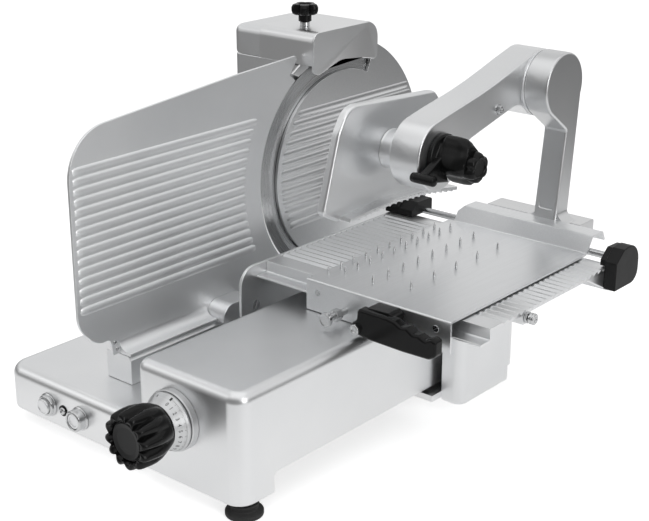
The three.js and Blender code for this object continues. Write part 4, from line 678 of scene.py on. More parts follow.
def button(low, high, dish, sink):
    """A push button whose face is sunk inside a rounded rim."""
    radius = 9.4
    return turned("y", middle(low, high, "xz"), [
        (0, low.y + sink), (dish, low.y + sink, 0.3), (dish + 0.5, low.y, 0.4),
        (radius, low.y + 0.2, 1), (radius, high.y), (0, high.y)])


SLAB_FRONT = -0.3
LAMP = middle(*corners("pilot_lamp"), "xz")


def lamp_gasket():
    inner, outer, front = 5.2, 6.6, -1.2
    return turned("y", LAMP, [
        (inner, SLAB_FRONT), (inner, front, 0.3), (outer, front, 0.4), (outer, SLAB_FRONT),
        (inner, SLAB_FRONT)], 48)


def pilot_lamp(low, high):
    """A small domed lamp with a six-sided hole in its face."""
    head = turned("y", LAMP, [
        (0, low.y + 1), (2.2, low.y, 0.8), (4.2, low.y + 1.2, 0.6), (4.9, SLAB_FRONT), (4, SLAB_FRONT),
        (4, high.y), (0, high.y)], 40)
    return cut(head, block("y", hexagon(LAMP, 1.6), (low.y - 1, low.y + 1.6)))


def power_inlet(low, high):
    bore = 4
    return turned("y", middle(low, high, "xz"), [
        (bore, low.y), (6, low.y), (6, high.y - 8.7, 0), (12, high.y - 8.7, 0.8), (12, high.y - 4.5, 1.2),
        (7.5, high.y, 1.5), (bore, high.y, 0.6), (bore, low.y)])


finished("drive_housing", drive_housing, CASTING)
finished("base_slab", base_slab, CASTING)
finished("bottom_plate", bottom_plate, PLAIN_STEEL)
for name in ("foot_front_right", "foot_rear_right", "foot_front_left", "foot_rear_left"):
    finished(name, foot, RUBBER)
for name in ("start_bezel", "stop_bezel"):
    finished(name, bezel, BRIGHT_STEEL)
finished("start_button", button, CASTING, 7.4, 0.9)
finished("stop_button", button, CASTING, 6.4, 1.2)
piece("lamp_gasket", lamp_gasket(), BLOCK_PLASTIC, node_bodies["pilot_lamp"])
finished("pilot_lamp", pilot_lamp, BRIGHT_STEEL)
finished("power_inlet", power_inlet, BLOCK_PLASTIC)


# Tower, sharpener and guard

def tower(low, high):
    return block("z", rectangle((low.x, high.x), (low.y, high.y), 10), (low.z, high.z), (0.6, 0.8), 3, 8)


KNOB_CENTRE = (-266, 408)


def sharpener_cover(low, high):
    """A long cover with a lower rear part, open below, with a flap that follows the blade."""
    bottom = corners("tower")[1].z + 0.5
    step_x = low.x + 52

    def section(inset, drop):
        """The cover's section across its length, rounded along its top."""
        return [
            (low.y + inset, bottom), (low.y + inset, high.z - drop, 13 - inset / 2),
            (high.y - inset, high.z - drop, 20 - inset / 2), (high.y - inset, bottom)]

    wall = 3
    end_face = [
        (low.y, low.z + 4, 5), (low.y, high.z, 11), (high.y, high.z, 22), (high.y, low.z + 5, 7),
        (high.y - 8, low.z + 4, 6), (high.y - 30, low.z + 8.5, 30), (low.y + 54, low.z + 13, 40),
        (low.y + 27, low.z + 5, 24), (low.y + 10, low.z, 9)]
    flap = block("x", end_face, (high.x - wall, high.x), (0, 0.9), 4, 10)
    main = block("x", section(0, 0), (step_x, high.x - wall), (0.8, 0), 3, 10)
    small = block("x", section(4.5, 4), (low.x, step_x + 10), (12, 0), 7, 10)
    inside = [(y, z - (1 if z <= bottom else 0), *rest) for y, z, *rest in section(7.5, 7.5)]
    hollow = block("x", inside, (low.x + 8, high.x - wall - 1), (4, 0), 3)
    dish = turned("z", KNOB_CENTRE, [
        (9.5, high.z - 2), (9.5, high.z - 0.8), (12, high.z + 0.05, 0.8), (14, high.z - 0.8),
        (14, high.z - 2), (9.5, high.z - 2)], 64)
    return joined(cut(fused(main, small), hollow), flap, dish)


def sharpener_knob(low, high):
    """A five-pointed star grip on a black collar."""
    top = high.z - 1.8
    under = top - 13.4
    star = lobed("z", KNOB_CENTRE, [
        (8.5, under - 0.2, 0.2), (14, under, 3.6), (16.4, under + 1.6, 5.2), (17.6, under + 5, 6.2),
        (17.6, under + 9.5, 6.4), (16, top - 0.8, 5.6), (13.8, top, 4.2), (9.5, top - 0.1, 0.4),
        (8.2, top - 1.4, 0.1), (3, top - 1.6, 0)], count=5, turn=20)
    collar = turned("z", KNOB_CENTRE, [
        (0, low.z), (4, low.z), (4, under - 8.6), (8.3, under - 8.6, 0.5), (8.3, under + 1),
        (0, under + 1)], 48)
    return joined(star, collar)


def knob_washer():
    """The bright boss on which the sharpener's knob sits."""
    top = corners("sharpener_cover")[1].z
    start, end = top + 0.2, top + 5.4
    bore, radius = 4.4, 6.4
    return turned("z", KNOB_CENTRE, [
        (bore, start), (radius, start), (radius, end, 0.4), (bore, end), (bore, start)], 48)


BLADE = middle(*corners("blade"), "yz")
BLADE_RADIUS = 150
BLADE_BORE = 12.3
GUARD_RADIUS = 167
GUARD_INNER_RADIUS = 154
GUARD_START = -65
GUARD_END = 66
FLUTE_COUNT = 13
FLUTE_PITCH = 12
TOP_FLUTE = 317


def reach_at(radius, z):
    """Half the width, at one height, of a circle round the blade's axis."""
    return math.sqrt(radius ** 2 - (z - BLADE[1]) ** 2)


def blade(low, high):
    """A disc with a bevel ground on its right face."""
    return turned("x", BLADE, [
        (BLADE_BORE, low.x), (BLADE_RADIUS - 0.4, low.x), (BLADE_RADIUS, low.x + 0.15), (137, high.x, 6),
        (BLADE_BORE, high.x), (BLADE_BORE, low.x)], 180, 3)


def blade_cover(low, high):
    """The still plate over the blade's face, with raised flutes across it."""
    proud = 1.3
    face = high.x - proud
    sides = arc(BLADE, 127, GUARD_END, GUARD_START + 360, 3)
    sides += arc(BLADE, GUARD_RADIUS, GUARD_START, GUARD_END, 3)
    flutes = []
    for i in range(FLUTE_COUNT):
        z = TOP_FLUTE - FLUTE_PITCH * i
        start = BLADE[0] - reach_at(120, z)
        end = BLADE[0] + reach_at(164, z)
        flutes.append(ridge(start, end, z, half=4.8, back=face, proud=proud, taper=8))
    return joined(block("x", sides, (low.x, face), (0, 0.7), 3), *flutes)


def guard_ring(low, high):
    """The rim behind the blade's rear edge, on two arms."""
    sides = arc(BLADE, GUARD_RADIUS, GUARD_START, GUARD_END, 3)
    sides += arc(BLADE, GUARD_INNER_RADIUS, GUARD_END, GUARD_START, 3)
    away, half = 107, 10
    arms = []
    for z in (BLADE[1] - away, BLADE[1] + away):
        arm_sides = rectangle((low.y + 1, 571), (z - half, z + half), 2)
        arms.append(block("x", arm_sides, (low.x, low.x + 10), (0.5, 1)))
    return joined(block("x", sides, (low.x, high.x), (1, 1)), *arms)


finished("tower", tower, CASTING)
finished("sharpener_cover", sharpener_cover, CASTING)
finished("sharpener_knob", sharpener_knob, KNOB_PLASTIC, crease=24)
piece("knob_washer", knob_washer(), BRIGHT_STEEL, node_bodies["sharpener_cover"])
finished("blade", blade, BLADE_STEEL, crease=8)
finished("blade_cover", blade_cover, COVER_STEEL)
finished("guard_ring", guard_ring, CASTING)


# Gauge plate, its guide and its beam

GAUGE_FACE = corners("gauge_plate")[0].x + 3
RIB_COUNT = 15
RIB_PITCH = 11.57
LOWEST_RIB = 159


def gauge_plate(low, high):
    """A plate cut out round the blade, with pressed ribs and a heel on its beam."""
    beam_low, beam_high = corners("gauge_beam")
    guide_low, guide_high = corners("guide_cover")
    left, bottom = low.x, low.z
    cutout = 153
    peak_y, peak_z = -96, 135.5
    beam_angle = 180 + math.degrees(math.acos((BLADE[0] - beam_high.y) / cutout))
    peak_angle = math.degrees(math.atan2(peak_z, peak_y)) - 1.5
    sides = [
        (BLADE[0] + peak_y, BLADE[1] + peak_z), (BLADE[0] - 78, high.z, 4), (255, 385), (low.y, 363, 58),
        (low.y, 139, 34), (24, 110.5, 26), (41, 113.5, 5), (43.5, 104, 4), (44.5, bottom, 1.5),
        (beam_low.y, bottom), (beam_high.y, bottom)]
    sides += arc(BLADE, cutout, beam_angle, peak_angle, 2)
    plate = block("x", sides, (left, GAUGE_FACE), (0.3, 0.9), 4, 10)
    ribs = []
    for i in range(RIB_COUNT):
        z = LOWEST_RIB + RIB_PITCH * i
        end = BLADE[0] - reach_at(180, z)
        ribs.append(ridge(1, end, z, half=5.2, back=GAUGE_FACE, proud=2, taper=11))
    heel_edge, heel_top, hollow = GAUGE_FACE + 18, bottom + 16, 12
    heel = [(left + 1, bottom), (heel_edge, bottom), (heel_edge, bottom + 4, 1.5)]
    heel += arc((GAUGE_FACE + hollow, heel_top), hollow, 270, 180, 8) + [(left + 1, heel_top)]
    front = block("y", heel, (beam_low.y, guide_low.y - 0.3), (0.6, 0.2), 2)
    rear = block("y", heel, (guide_high.y + 0.3, beam_high.y), (0.2, 0.6), 2)
    return joined(plate, front, rear, *ribs)


def gauge_beam(low, high):
    sides = [
        (low.x, low.z), (high.x, low.z), (high.x, high.z - 5, 0.5), (high.x - 5, high.z, 0.5),
        (low.x, high.z, 1)]
    return block("y", sides, (low.y, high.y), (0.8, 0.8), 3)


def guide_cover(low, high):
    sides = [(low.y, low.z, 0.5), (high.y, low.z, 0.5), (high.y, high.z, 4), (low.y, high.z, 18)]
    return block("x", sides, (low.x, high.x), (0.2, 1.2), 4, 10)


def edge_shield():
    """The small block between the gauge plate's peak and the blade's edge, on a strip from the tower."""
    tower_face = corners("tower")[1].x
    head_sides = [(359.5, 369), (370, 363.5, 0.6), (391, 373, 0.6), (379, 381, 0.6)]
    strip_sides = [(376.5, 368), (384, 371), (381, 377), (376.5, 376)]
    head = block("x", head_sides, (GAUGE_FACE - 3, GAUGE_FACE), (0.3, 0.6), 2)
    return joined(head, block("x", strip_sides, (tower_face - 1, GAUGE_FACE - 2)))


finished("gauge_plate", gauge_plate, PLATE_CASTING)
finished("gauge_beam", gauge_beam, CASTING)
finished("guide_cover", guide_cover, CASTING)
piece("edge_shield", edge_shield(), CASTING, node_bodies["tower"])
for i, place in enumerate(((48.2, 107.5), (51.4, 98.5))):
    screw = slotted_screw("x", place, 2.6, (GAUGE_FACE + 1.2, GAUGE_FACE - 0.5), 0.7)
    piece(f"plate_screw_{i + 1}", screw, BRIGHT_STEEL, "gauge")


# Dial and thickness knob

DIAL = middle(*corners("index_ring"), "xz")
DIAL_BORE = 6.3
DIAL_RADIUS = 33.5
DIAL_FRONT_RADIUS = 25.7
CONE_FRONT = corners("dial")[0].y
CONE_BACK = corners("dial")[1].y - 2.4
NUMBER_COUNT = 16
NUMBER_STEP = 13.5
FIRST_NUMBER = 19
LINES_PER_NUMBER = 5


def index_ring(low, high):
    return turned("y", DIAL, [
        (DIAL_BORE, low.y), (34.2, low.y, 0.5), (35, low.y + 1.2, 0.6), (35, high.y, 0.4),
        (DIAL_BORE, high.y), (DIAL_BORE, low.y)], 128)


def dial(low, high):
    """A cone that narrows towards the knob, with a short straight rim at its back."""
    return turned("y", DIAL, [
        (DIAL_BORE, high.y), (33.2, high.y, 0.4), (DIAL_RADIUS, CONE_BACK, 0.4),
        (DIAL_FRONT_RADIUS, CONE_FRONT, 0.6), (DIAL_BORE, low.y), (DIAL_BORE, high.y)], 128)


def on_dial(around, ahead):
    """A point just off the dial's cone: degrees clockwise from the top, and how far ahead of its back."""
    share = ahead / (CONE_BACK - CONE_FRONT)
    paint = 0.06
    radius = DIAL_RADIUS + (DIAL_FRONT_RADIUS - DIAL_RADIUS) * share + paint
    x, z = polar(DIAL, radius, 90 - around)
    return (x, CONE_BACK - ahead, z)


def dial_marks():
    """Fine lines near the dial's back edge, two broad marks, and the numbers in front of them."""
    points, faces = [], []

    def mark(around, half, start, end):
        first = len(points)
        for side, ahead in ((-half, start), (half, start), (half, end), (-half, end)):
            points.append(on_dial(around + side, ahead))
        faces.append((first, first + 1, first + 2, first + 3))

    for i in range(NUMBER_COUNT * LINES_PER_NUMBER):
        around = FIRST_NUMBER + i * NUMBER_STEP / LINES_PER_NUMBER
        mark(around, 0.3, 2.2, 3.4 if i % LINES_PER_NUMBER else 4.6)
    mark(17, 2.2, 1, 4.4)
    mark(-18, 1.2, 3.4, 6)
    mean_radius, baseline = 29, 10.6
    for number in range(NUMBER_COUNT):
        curve = bpy.data.curves.new("number", "FONT")
        curve.body = str(number)
        curve.size = 5.2
        curve.align_x = "CENTER"
        curve.offset = 0.06
        written = add_object("number", curve)
        flat = as_mesh(written)
        bpy.data.objects.remove(written)
        first = len(points)
        around = FIRST_NUMBER + number * NUMBER_STEP
        for vertex in flat.vertices:
            turn = math.degrees(vertex.co.x / mean_radius)
            points.append(on_dial(around + turn, baseline - vertex.co.y))
        faces += [tuple(first + i for i in polygon.vertices) for polygon in flat.polygons]
    mesh = bpy.data.meshes.new("marks")
    mesh.from_pydata(points, [], faces)
    return mesh


finished("index_ring", index_ring, DIAL_STEEL)
finished("dial", dial, DIAL_STEEL)
piece("dial_marks", dial_marks(), DIAL_PAINT, "thickness_setting")


def thickness_knob(low, high):
    """A barrel with twelve rounded flutes that end in nubs round a sunk disc."""
    front = low.y + 1
    return lobed("y", DIAL, [
        (6, front + 5, 0), (22, front + 5, 0), (23, front + 4, 0.4), (24, front + 1.6, 1.4),
        (25.6, front + 0.3, 3.6), (27.8, front, 5.6), (30, front + 0.5, 7.4), (31.6, front + 2, 8.4),
        (32.5, front + 4.6, 8.4), (33, front + 8, 7), (33.6, front + 18, 4.6), (33.5, front + 26, 3.8),
        (32, front + 34, 3), (29.4, front + 41, 2), (26.9, front + 46, 1), (25.6, high.y - 1, 0.4),
        (24.8, high.y, 0.2)], count=12, turn=8, segments=192)


def thickness_disc():
    """The disc that is sunk in the front of the thickness knob."""
    front = corners("thickness_knob")[0].y + 1
    return turned("y", DIAL, [
        (0, front + 4.6), (15, front + 4.2, 4), (20.6, front + 2.8, 1), (21.4, front + 5.6),
        (0, front + 5.6)], 64)


finished("thickness_knob", thickness_knob, KNOB_PLASTIC, crease=40)
piece("thickness_knob_disc", thickness_disc(), KNOB_DISC, "thickness_setting")


# Carriage

TOOTH_COUNT = 20
TOOTH_PITCH = 11.2
TOOTH_DEPTH = 3.2
FIRST_TOOTH = 270


def carriage_table(low, high):
    """A ribbed deck that steps down in front, with two cheeks, a lug and a gusset below it."""
    top = high.z
    under = top - 5
    front, rear, skirt = low.y + 18, 508, 133
    teeth = []
    for i in range(TOOTH_COUNT):
        start = FIRST_TOOTH + TOOTH_PITCH * i
        teeth += [(start, top, 0.3), (start + 3.4, top, 1.2), (start + 4.3, top - TOOTH_DEPTH, 0.3)]
    section = [
        (front, top, 0.6), *teeth, (494, top), (rear, top, 0.8), (rear, skirt, 0.8), (rear - 6, skirt, 0.8),
        (rear - 6, under), (front + 3, under), (front + 3, 148.5, 2), (low.y, 148.5, 1),
        (low.y, 151.5, 1), (front, 151.5, 2)]
    deck = block("x", section, (low.x, high.x), (0.4, 0.4), 2, 3)
    cheeks = [
        block("x", rectangle((y - 9, y + 9), (134, 161), 4), (-127.4, -122.4), (0.6, 0.6), 2)
        for y in (300, 465)]
    lug = block("x", rectangle((312, 328), (148, 161), 3), (high.x - 17, high.x), (0.6, 0.6), 2)
    gusset_sides = [(452, 160.5), (513, low.z, 2), (high.y, low.z, 1), (high.y, 164)]
    gusset = block("x", gusset_sides, (high.x - 8, high.x), (0.6, 0.8), 3)
    return joined(deck, *cheeks, lug, gusset)


def carriage_apron(low, high):
    """A rounded box, cut away low at its rear, with the flat tongue that reaches into the housing."""
    left, right, front, rear = 8, high.x, 343, high.y
    step_top, tongue_rear = 25, 436
    sides = [(left, front, 1), (right, front, 14), (right, rear, 12), (left, rear, 1)]
    body = block("z", sides, (low.z, high.z), (6, 0.4), 6, 8)
    step = box((left - 5, right + 5), (rear - 14, rear + 5), (low.z - 5, step_top))
    tongue = box((low.x, left + 2), (low.y, tongue_rear), (10, 18))
    return joined(cut(body, step), tongue)


def end_plate(low, high):
    sides = [(low.y, low.z, 6), (high.y, low.z, 6), (high.y, high.z, 1), (low.y, high.z, 24)]
    return block("x", sides, (low.x, high.x), (0.8, 0.8), 3, 10)


def rod_block_left(low, high):
    """A moulded block: a leaning body outside, and a nose towards the plate that the rod leaves from."""
    body = block("x", [
        (low.y, 165.3, 1), (508.3, 165.3), (508.3, low.z, 0.8), (541, low.z, 3), (548, 166, 4),
        (high.y, high.z, 5), (512, high.z, 8), (low.y, 176, 4)], (low.x, -177), (1.2, 1.2), 4, 8)
    nose = block("x", [
        (low.y, 165.5, 0.8), (540, 165.5, 0.8), (540, 183, 3), (509, 183, 1), (low.y, 174, 1)],
        (-179, high.x), (0, 0.8), 3, 6)
    return joined(body, nose)


def rod_block_right(low, high):
    """The same form on the right: a flat D-shaped cheek, and a nose with a bevelled front."""
    left = low.x + 8
    cheek = block("x", [
        (low.y, low.z, 1.5), (high.y, low.z, 16), (high.y, high.z, 24), (507, 188, 3), (low.y, 174, 2)],
        (left, high.x), (0.8, 1.2), 4, 12)
    nose = block("x", [(493, 167, 0.8), (534, 167, 0.8), (534, 186, 4), (508, 187, 1), (493, 174.5, 1)],
                 (low.x, left + 2), (0.9, 0), 4, 8)
    return joined(cheek, nose)


def eye_screw(low, high):
    """A screw with a grooved head that is hollow at its end, and its nut."""
    place = middle(low, high, "yz")
    screw = turned("x", place, [
        (0, low.x), (2.9, low.x, 0.6), (2.9, high.x - 7.4, 0.5), (6.4, high.x - 6.8, 1),
        (6.9, high.x - 5.2, 1), (6.2, high.x - 4, 0.5), (6.2, high.x - 3.4, 0.5), (6.9, high.x - 2.2, 1),
        (6, high.x - 0.2, 1), (3.2, high.x, 0.4), (2.6, high.x - 1.4, 0.4), (0, high.x - 1.4)], 48)
    nut = block("x", hexagon(place, 6.8), (137.3, 140.9), (0.5, 0.5), 2)
    return joined(screw, nut)


def guide_rod(low, high):
    return rod("x", middle(low, high, "yz"), 4.5, (low.x, high.x), 0.8)


finished("carriage_table", carriage_table, CASTING)
finished("carriage_apron", carriage_apron, CASTING)
finished("carriage_end_plate", end_plate, CASTING)
finished("rod_block_left", rod_block_left, BLOCK_PLASTIC)
finished("rod_block_right", rod_block_right, BLOCK_PLASTIC)
finished("guide_rod", guide_rod, BRIGHT_STEEL)
finished("eye_screw", eye_screw, BRIGHT_STEEL)
end_face = corners("carriage_end_plate")[1].x
end_screw = slotted_screw("x", (229, 113), 6.5, (end_face + 0.2, end_face - 1), 1.4, 60)
piece("end_plate_screw", end_screw, BRIGHT_STEEL, "carriage")


# Product plate

# Each row of spikes: where it lies across, where it starts and ends, and its number of spikes
SPIKE_ROWS = ((-97, 255, 466, 10), (-81, 267, 479, 10), (-38, 265, 469, 8), (7, 279, 456, 5))


def product_plate(low, high):
    """A bent sheet: a flange in front, the table, and behind it a raised fence with a hooked edge."""
    top, front, crease, rear = 169, 227, 511, 570
    fence_y, fence_top = crease + 13, top + 20
    hook_y = fence_y + 25
    section = sheet_section([
        (hook_y + 6.6, fence_top - 12), (hook_y + 0.3, fence_top, 3.4), (fence_y, fence_top, 3),
        (crease, top, 3.5), (front, top, 2.6), (front, 131)], -2.5, 6)
    sheet = block("x", section, (low.x, high.x), (0.3, 0.3), 2)
    corner = box((low.x - 3, -98), (crease, rear), (top - 6, fence_top + 5))
    slope_sides = [
        (-99, fence_top + 6), (-99, fence_top - 9), (-88, fence_top + 2), (-88, fence_top + 6)]
    return cut(sheet, corner, block("y", slope_sides, (crease - 6, rear)))


def spikes():
    """Turned pins with ground points, in rows."""
    root, tip = 167.5, 178.9
    profile = [(0, root), (1.5, root), (1.5, root + 6, 1), (0.9, 176.6, 0.6), (0.12, tip), (0, tip)]
    pins = []
    for across, start, end, count in SPIKE_ROWS:
        for i in range(count):
            pins.append(turned("z", (across, start + (end - start) * i / (count - 1)), profile, 14, 2))
    return joined(*pins)


def clamp_screw(low, high):
    """A shank with a dished disc in front and a nut behind it."""
    centre = middle(low, high, "xz")
    shank = rod("y", centre, 4, (low.y + 3, high.y), 0.5)
    disc = turned("y", centre, [
        (0, low.y + 0.6), (6, low.y + 0.6, 0.6), (7, low.y, 0.5), (8.5, low.y, 0.8),
        (8.5, low.y + 5, 0.8), (0, low.y + 5)])
    nut = block("y", hexagon(centre, 7.5), (low.y + 16, low.y + 26), (0.6, 0.6), 2)
    return joined(shank, disc, nut)


def grip_lever(low, high):
    """A moulded grip with finger waves above, and its thinner root behind it."""
    grip = block("y", [
        (-15.5, 141, 6), (-10, 134, 6), (10, 131.5, 16), (56, 130.6, 40), (92, 131.5, 10), (100.6, 137, 6),
        (100.6, 155, 4), (94, 156.8, 4), (86, 152.6, 5), (77, 156.4, 5), (69.5, 155.6, 5), (61, 161, 5),
        (52.5, 159.6, 5), (44, 163.8, 5), (33, 165.4, 4), (-7.5, 165.4, 4), (-9, 150, 8), (-15.5, 147, 4)],
        (low.y, low.y + 15), (3.4, 3), 6, 6)
    root = block("y", [
        (-8, 135, 4), (32, 143, 6), (38, 165, 4), (30, 167.5, 3), (-4, 166, 8)],
        (low.y + 8, high.y), (1, 0), 3, 6)
    return joined(grip, root)


def grip_pivot(low, high):
    return turned("y", middle(low, high, "xz"), [
        (0, low.y + 1.4), (2.6, low.y + 1.2, 0.6), (3.6, low.y + 0.1, 0.8), (6, low.y, 1.4),
        (6, low.y + 4.7), (4, low.y + 4.7), (4, high.y, 0.6), (0, high.y)])


finished("product_plate", product_plate, SHEET_STEEL)
piece("product_spikes", spikes(), BRIGHT_STEEL, "product_holder")
for i, place in enumerate(((-90, 154.5), (80, 156))):
    screw = slotted_screw("y", place, 4.2, (226.4, 227.6), 0.9, 60 - 20 * i)
    piece(f"flange_screw_{i + 1}", screw, BRIGHT_STEEL, "product_holder")
finished("clamp_screw", clamp_screw, BRIGHT_STEEL)
finished("grip_lever", grip_lever, KNOB_PLASTIC, crease=40)
finished("grip_pivot", grip_pivot, BRIGHT_STEEL)


# Arm bracket, arm and press

HEAD = middle(*corners("arm_pin"), "yz")
BOSS = middle(*corners("pusher_shaft"), "yz")
HEAD_RADIUS = 42


def arm_bracket(low, high):
    """A foot and an open post: its round head carries the arm, and it widens into the foot."""
    left, right = 1, 33
    foot_top = 186
    flare_z, flare_radius = 202, 15.8
    side_wall = block("x", [
        (566, 180), (575, 180), *arc(HEAD, HEAD_RADIUS, -20, 225, 4), (561, 303, 6), (545, 182.5),
        (550, 180)], (left, right), (0.8, 3.2), 5, 8)
    foot_sides = [
        (514, low.z), (high.y, low.z, 3), (high.y, foot_top, 3), (558, foot_top), (558, 174.2),
        (521.5, 174.2), (514, 165)]
    foot_body = block("x", foot_sides, (low.x, 62), (0.8, 0.8), 3)
    flares = []
    for x, out in ((right - 3, 1), (left + 3, -1)):
        tip = x + 18 * out
        curve = arc((tip, flare_z), flare_radius, 270, 270 - 90 * out)
        flare = [(x, foot_top - 4), (tip, foot_top - 4), *curve, (x, flare_z)]
        flares.append(block("y", flare, (550, 574), (1, 1), 2))
    channel = block("y", [
        (left + 5, 200, 4), (right - 4.5, 200, 4), (right - 4.5, 291, 5), (left + 5, 291, 5)],
        (530, 549), (0, 2.5), 4)
    return joined(cut(side_wall, channel), foot_body, *flares)


def arm(low, high):
    """A bar between two round ends, hollowed above, with a fillet under each end."""
    span = Vector(HEAD) - Vector(BOSS)
    length = span.length
    heading = math.degrees(math.atan2(span.y, span.x))
    radius = 34
    drop = 7 + radius
    reach = math.sqrt((HEAD_RADIUS + radius) ** 2 - drop ** 2)
    lean = math.degrees(math.asin(drop / (HEAD_RADIUS + radius)))

    def at(u, v):
        """A point along the arm's line from the boss, and above it."""
        along = span.normalized()
        return tuple(Vector(BOSS) + along * u + Vector((-along.y, along.x)) * v)

    shares = (0.85, 0.7, 0.55, 0.4, 0.25, 0.12)
    crest, dip = 41.8, 3.5
    sides = arc(BOSS, HEAD_RADIUS, heading + 92, heading + 360 - lean, 4)
    sides += arc(at(reach, -drop), radius, heading + 180 - lean, heading + 90, 5)
    sides += arc(at(length - reach, -drop), radius, heading + 90, heading + lean, 5)
    sides += arc(HEAD, HEAD_RADIUS, heading - 180 + lean, heading + 88, 4)
    sides += [at(length * share, crest - dip * math.sin(math.pi * share) ** 2) for share in shares]
    bar = block("x", sides, (low.x, -3), (1.4, 2.2), 4)
    hub = turned("x", HEAD, [
        (0, -12), (41, -12), (41.2, -3, 4), (41.8, high.x - 1.2, 0.6), (0, high.x - 1.2)], 96)
    end_disc = rod("x", HEAD, 39.8, (high.x - 3, high.x + 0.1), 0, 96)
    return joined(bar, hub, end_disc)


def pusher_shaft(low, high):
    """The round hub between the press plate and the arm, set a little lower than its shaft."""
    hub_drop, hub_length = 3.5, 28.4
    hub = turned("x", (BOSS[0], BOSS[1] - hub_drop), [
        (0, low.x), (24.2, low.x), (23.4, low.x + 2.4, 2), (23, low.x + hub_length, 0.6),
        (0, low.x + hub_length)], 80)
    return joined(hub, rod("x", BOSS, 9, (low.x + 20, high.x), 0.6))


PRESS_TOOTH_COUNT = 18
PRESS_TOOTH_PITCH = 11.4
FIRST_PRESS_TOOTH = 255


def pusher_plate(low, high):
    """A dished sheet: its edges bend away from the hub, and its lower edge bends into a toothed lip."""
    sides = [
        (218.6, 254, 8), (246, 240.4, 8), (335, 244.6, 60), (400, 240.6, 60), (460.8, 231.2, 8),
        (439, 349, 16), (428, 362, 14), (264, 372.6, 28), (246, 344, 40)]
    sheet = block("x", sides, (low.x - 7, low.x + 3), (0.5, 3.4), 6, 10)
    hollow = block("x", outline(sides, 2.4, 10), (low.x - 8, low.x + 0.6))
    below = box((low.x - 9, low.x - 0.6), (244, 462), (228, 249))
    lip = block("x", [
        (247, 241.4, 1.5), (335, 245.6, 60), (400, 241.6, 60), (458.6, 231.8, 1.5), (459, 236.6),
        (400, 246.6, 60), (335, 250.6, 60), (249, 246.4)], (low.x + 1, high.x), (0, 1.4), 4)
    teeth = []
    for i in range(PRESS_TOOTH_COUNT):
        y = FIRST_PRESS_TOOTH + PRESS_TOOTH_PITCH * i
        edge = 241.8 + min(0.046 * (y - 249), 3.6, 0.06 * (400 - y)) - max(0, 0.105 * (y - 400))
        tooth = [(y - 3, edge + 1.5), (y + 3, edge + 1.5), (y, edge - 2.4, 0.5)]
        teeth.append(block("x", tooth, (low.x + 3, high.x - 1), (0.4, 0.4), 2))
    return joined(cut(sheet, hollow, below), lip, *teeth)


def clamp_knob(low, high):
    """A moulded knob with three uneven grips, a six-lobed head and a peg at its side."""
    # Each grip: the angle it points to, how far it stands out, and its width in degrees
    grips = ((95, 9.4, 25), (-65, 15.6, 25), (205, 5, 28))
    # Down the body: the place along x, the round core's radius, and the share of the grips that shows
    stations = [
        (-2.7, 25.8, 0), (-1.8, 27.2, 0), (2.6, 27.2, 0), (3.8, 26, 0), (5, 21, 0.3), (7, 18.8, 0.85),
        (10, 18.3, 1), (26, 18.3, 1), (33, 18.2, 0.94), (37.5, 17.6, 0.75), (40.6, 16.6, 0.4),
        (42.4, 15, 0.1)]
    rings = []
    for x, core, swell in stations:
        ring = []
        for i in range(144):
            angle = 2.5 * i
            reach = core
            for where, proud, width in grips:
                away = (angle - where + 180) % 360 - 180
                reach += swell * proud * math.exp(-((away / width) ** 2))
            ring.append(along_axis("x", *polar(BOSS, reach, angle), x))
        rings.append(ring)
    body = skin(rings)
    head_centre = (BOSS[0] + 2.6, BOSS[1] - 5)
    front = high.x - 0.3
    head = lobed("x", head_centre, [
        (14, front - 16.5, 1), (17, front - 15, 2.4), (18.3, front - 11, 3.2), (18.2, front - 6, 3.2),
        (17.2, front - 2.4, 3), (15.2, front - 0.5, 2.4), (12.6, front, 1.2), (10.8, front - 0.5, 0.2),
        (9.8, front - 1.8, 0), (3, front - 2, 0)], count=6, turn=25)
    peg_place = polar(BOSS, 49.3, 197.5)
    peg = turned("x", peg_place, [(0, -8), (5.4, -8, 2), (6, -2, 3), (6, 24, 2.4), (0, 26)], 48, 5)
    web = block("x", [
        polar(BOSS, 19, 165), polar(peg_place, 5.4, 110), polar(peg_place, 5.4, 285), polar(BOSS, 28, 265)],
        (2, 13), (3, 3), 5)
    return joined(body, head, peg, web)


def arm_screw():
    """A six-sided screw head on a washer, with the stud's end standing out."""
    place = (458, 344)
    washer = rod("x", place, 6.6, (-3.2, -1.8), 0.3)
    head = block("x", hexagon(place, 5.2, 10), (-2, 2.6), (0, 0.7), 3)
    stud = turned("x", place, [(0, 2), (2.4, 2), (2.4, 4.4, 0.6), (0, 4.4)], 24)
    return joined(washer, head, stud)


finished("arm_bracket", arm_bracket, BRACKET_CASTING)
finished("arm", arm, ARM_CASTING)
finished("pusher_shaft", pusher_shaft, ARM_CASTING)
finished("pusher_plate", pusher_plate, ARM_CASTING)
finished("clamp_knob", clamp_knob, KNOB_PLASTIC, crease=40)
piece("arm_screw", arm_screw(), BRIGHT_STEEL, "press_arm")


# Inner pieces keep their shapes and get their finishes
dressed(PLAIN_STEEL, "blade_bearing", "blade_shaft", "spindle_bracket", "gauge_carrier",
        "thickness_spindle", "carriage_bearing", "motor_pulley")
dressed(CASTING, "motor", "sharpener_bracket", "blade_pulley")
dressed(BRIGHT_STEEL, "carriage_rail", "arm_pin")
dressed(BLOCK_PLASTIC, "roller_front", "roller_rear")
dressed(RUBBER, "drive_belt")
dressed(STONE, "sharpening_stone", "truing_stone")
dressed(BRASS, "thickness_cam")


# Floor and background

# How bright the floor and the room are
SEEN_GLOW = 0.6
MIRRORED_TABLE = 1.0
ROOM_LEVEL = 0.2
CEILING_LEVEL = 0.76
ZENITH_DROP = 0.5
EVEN_LEVEL = 0.56

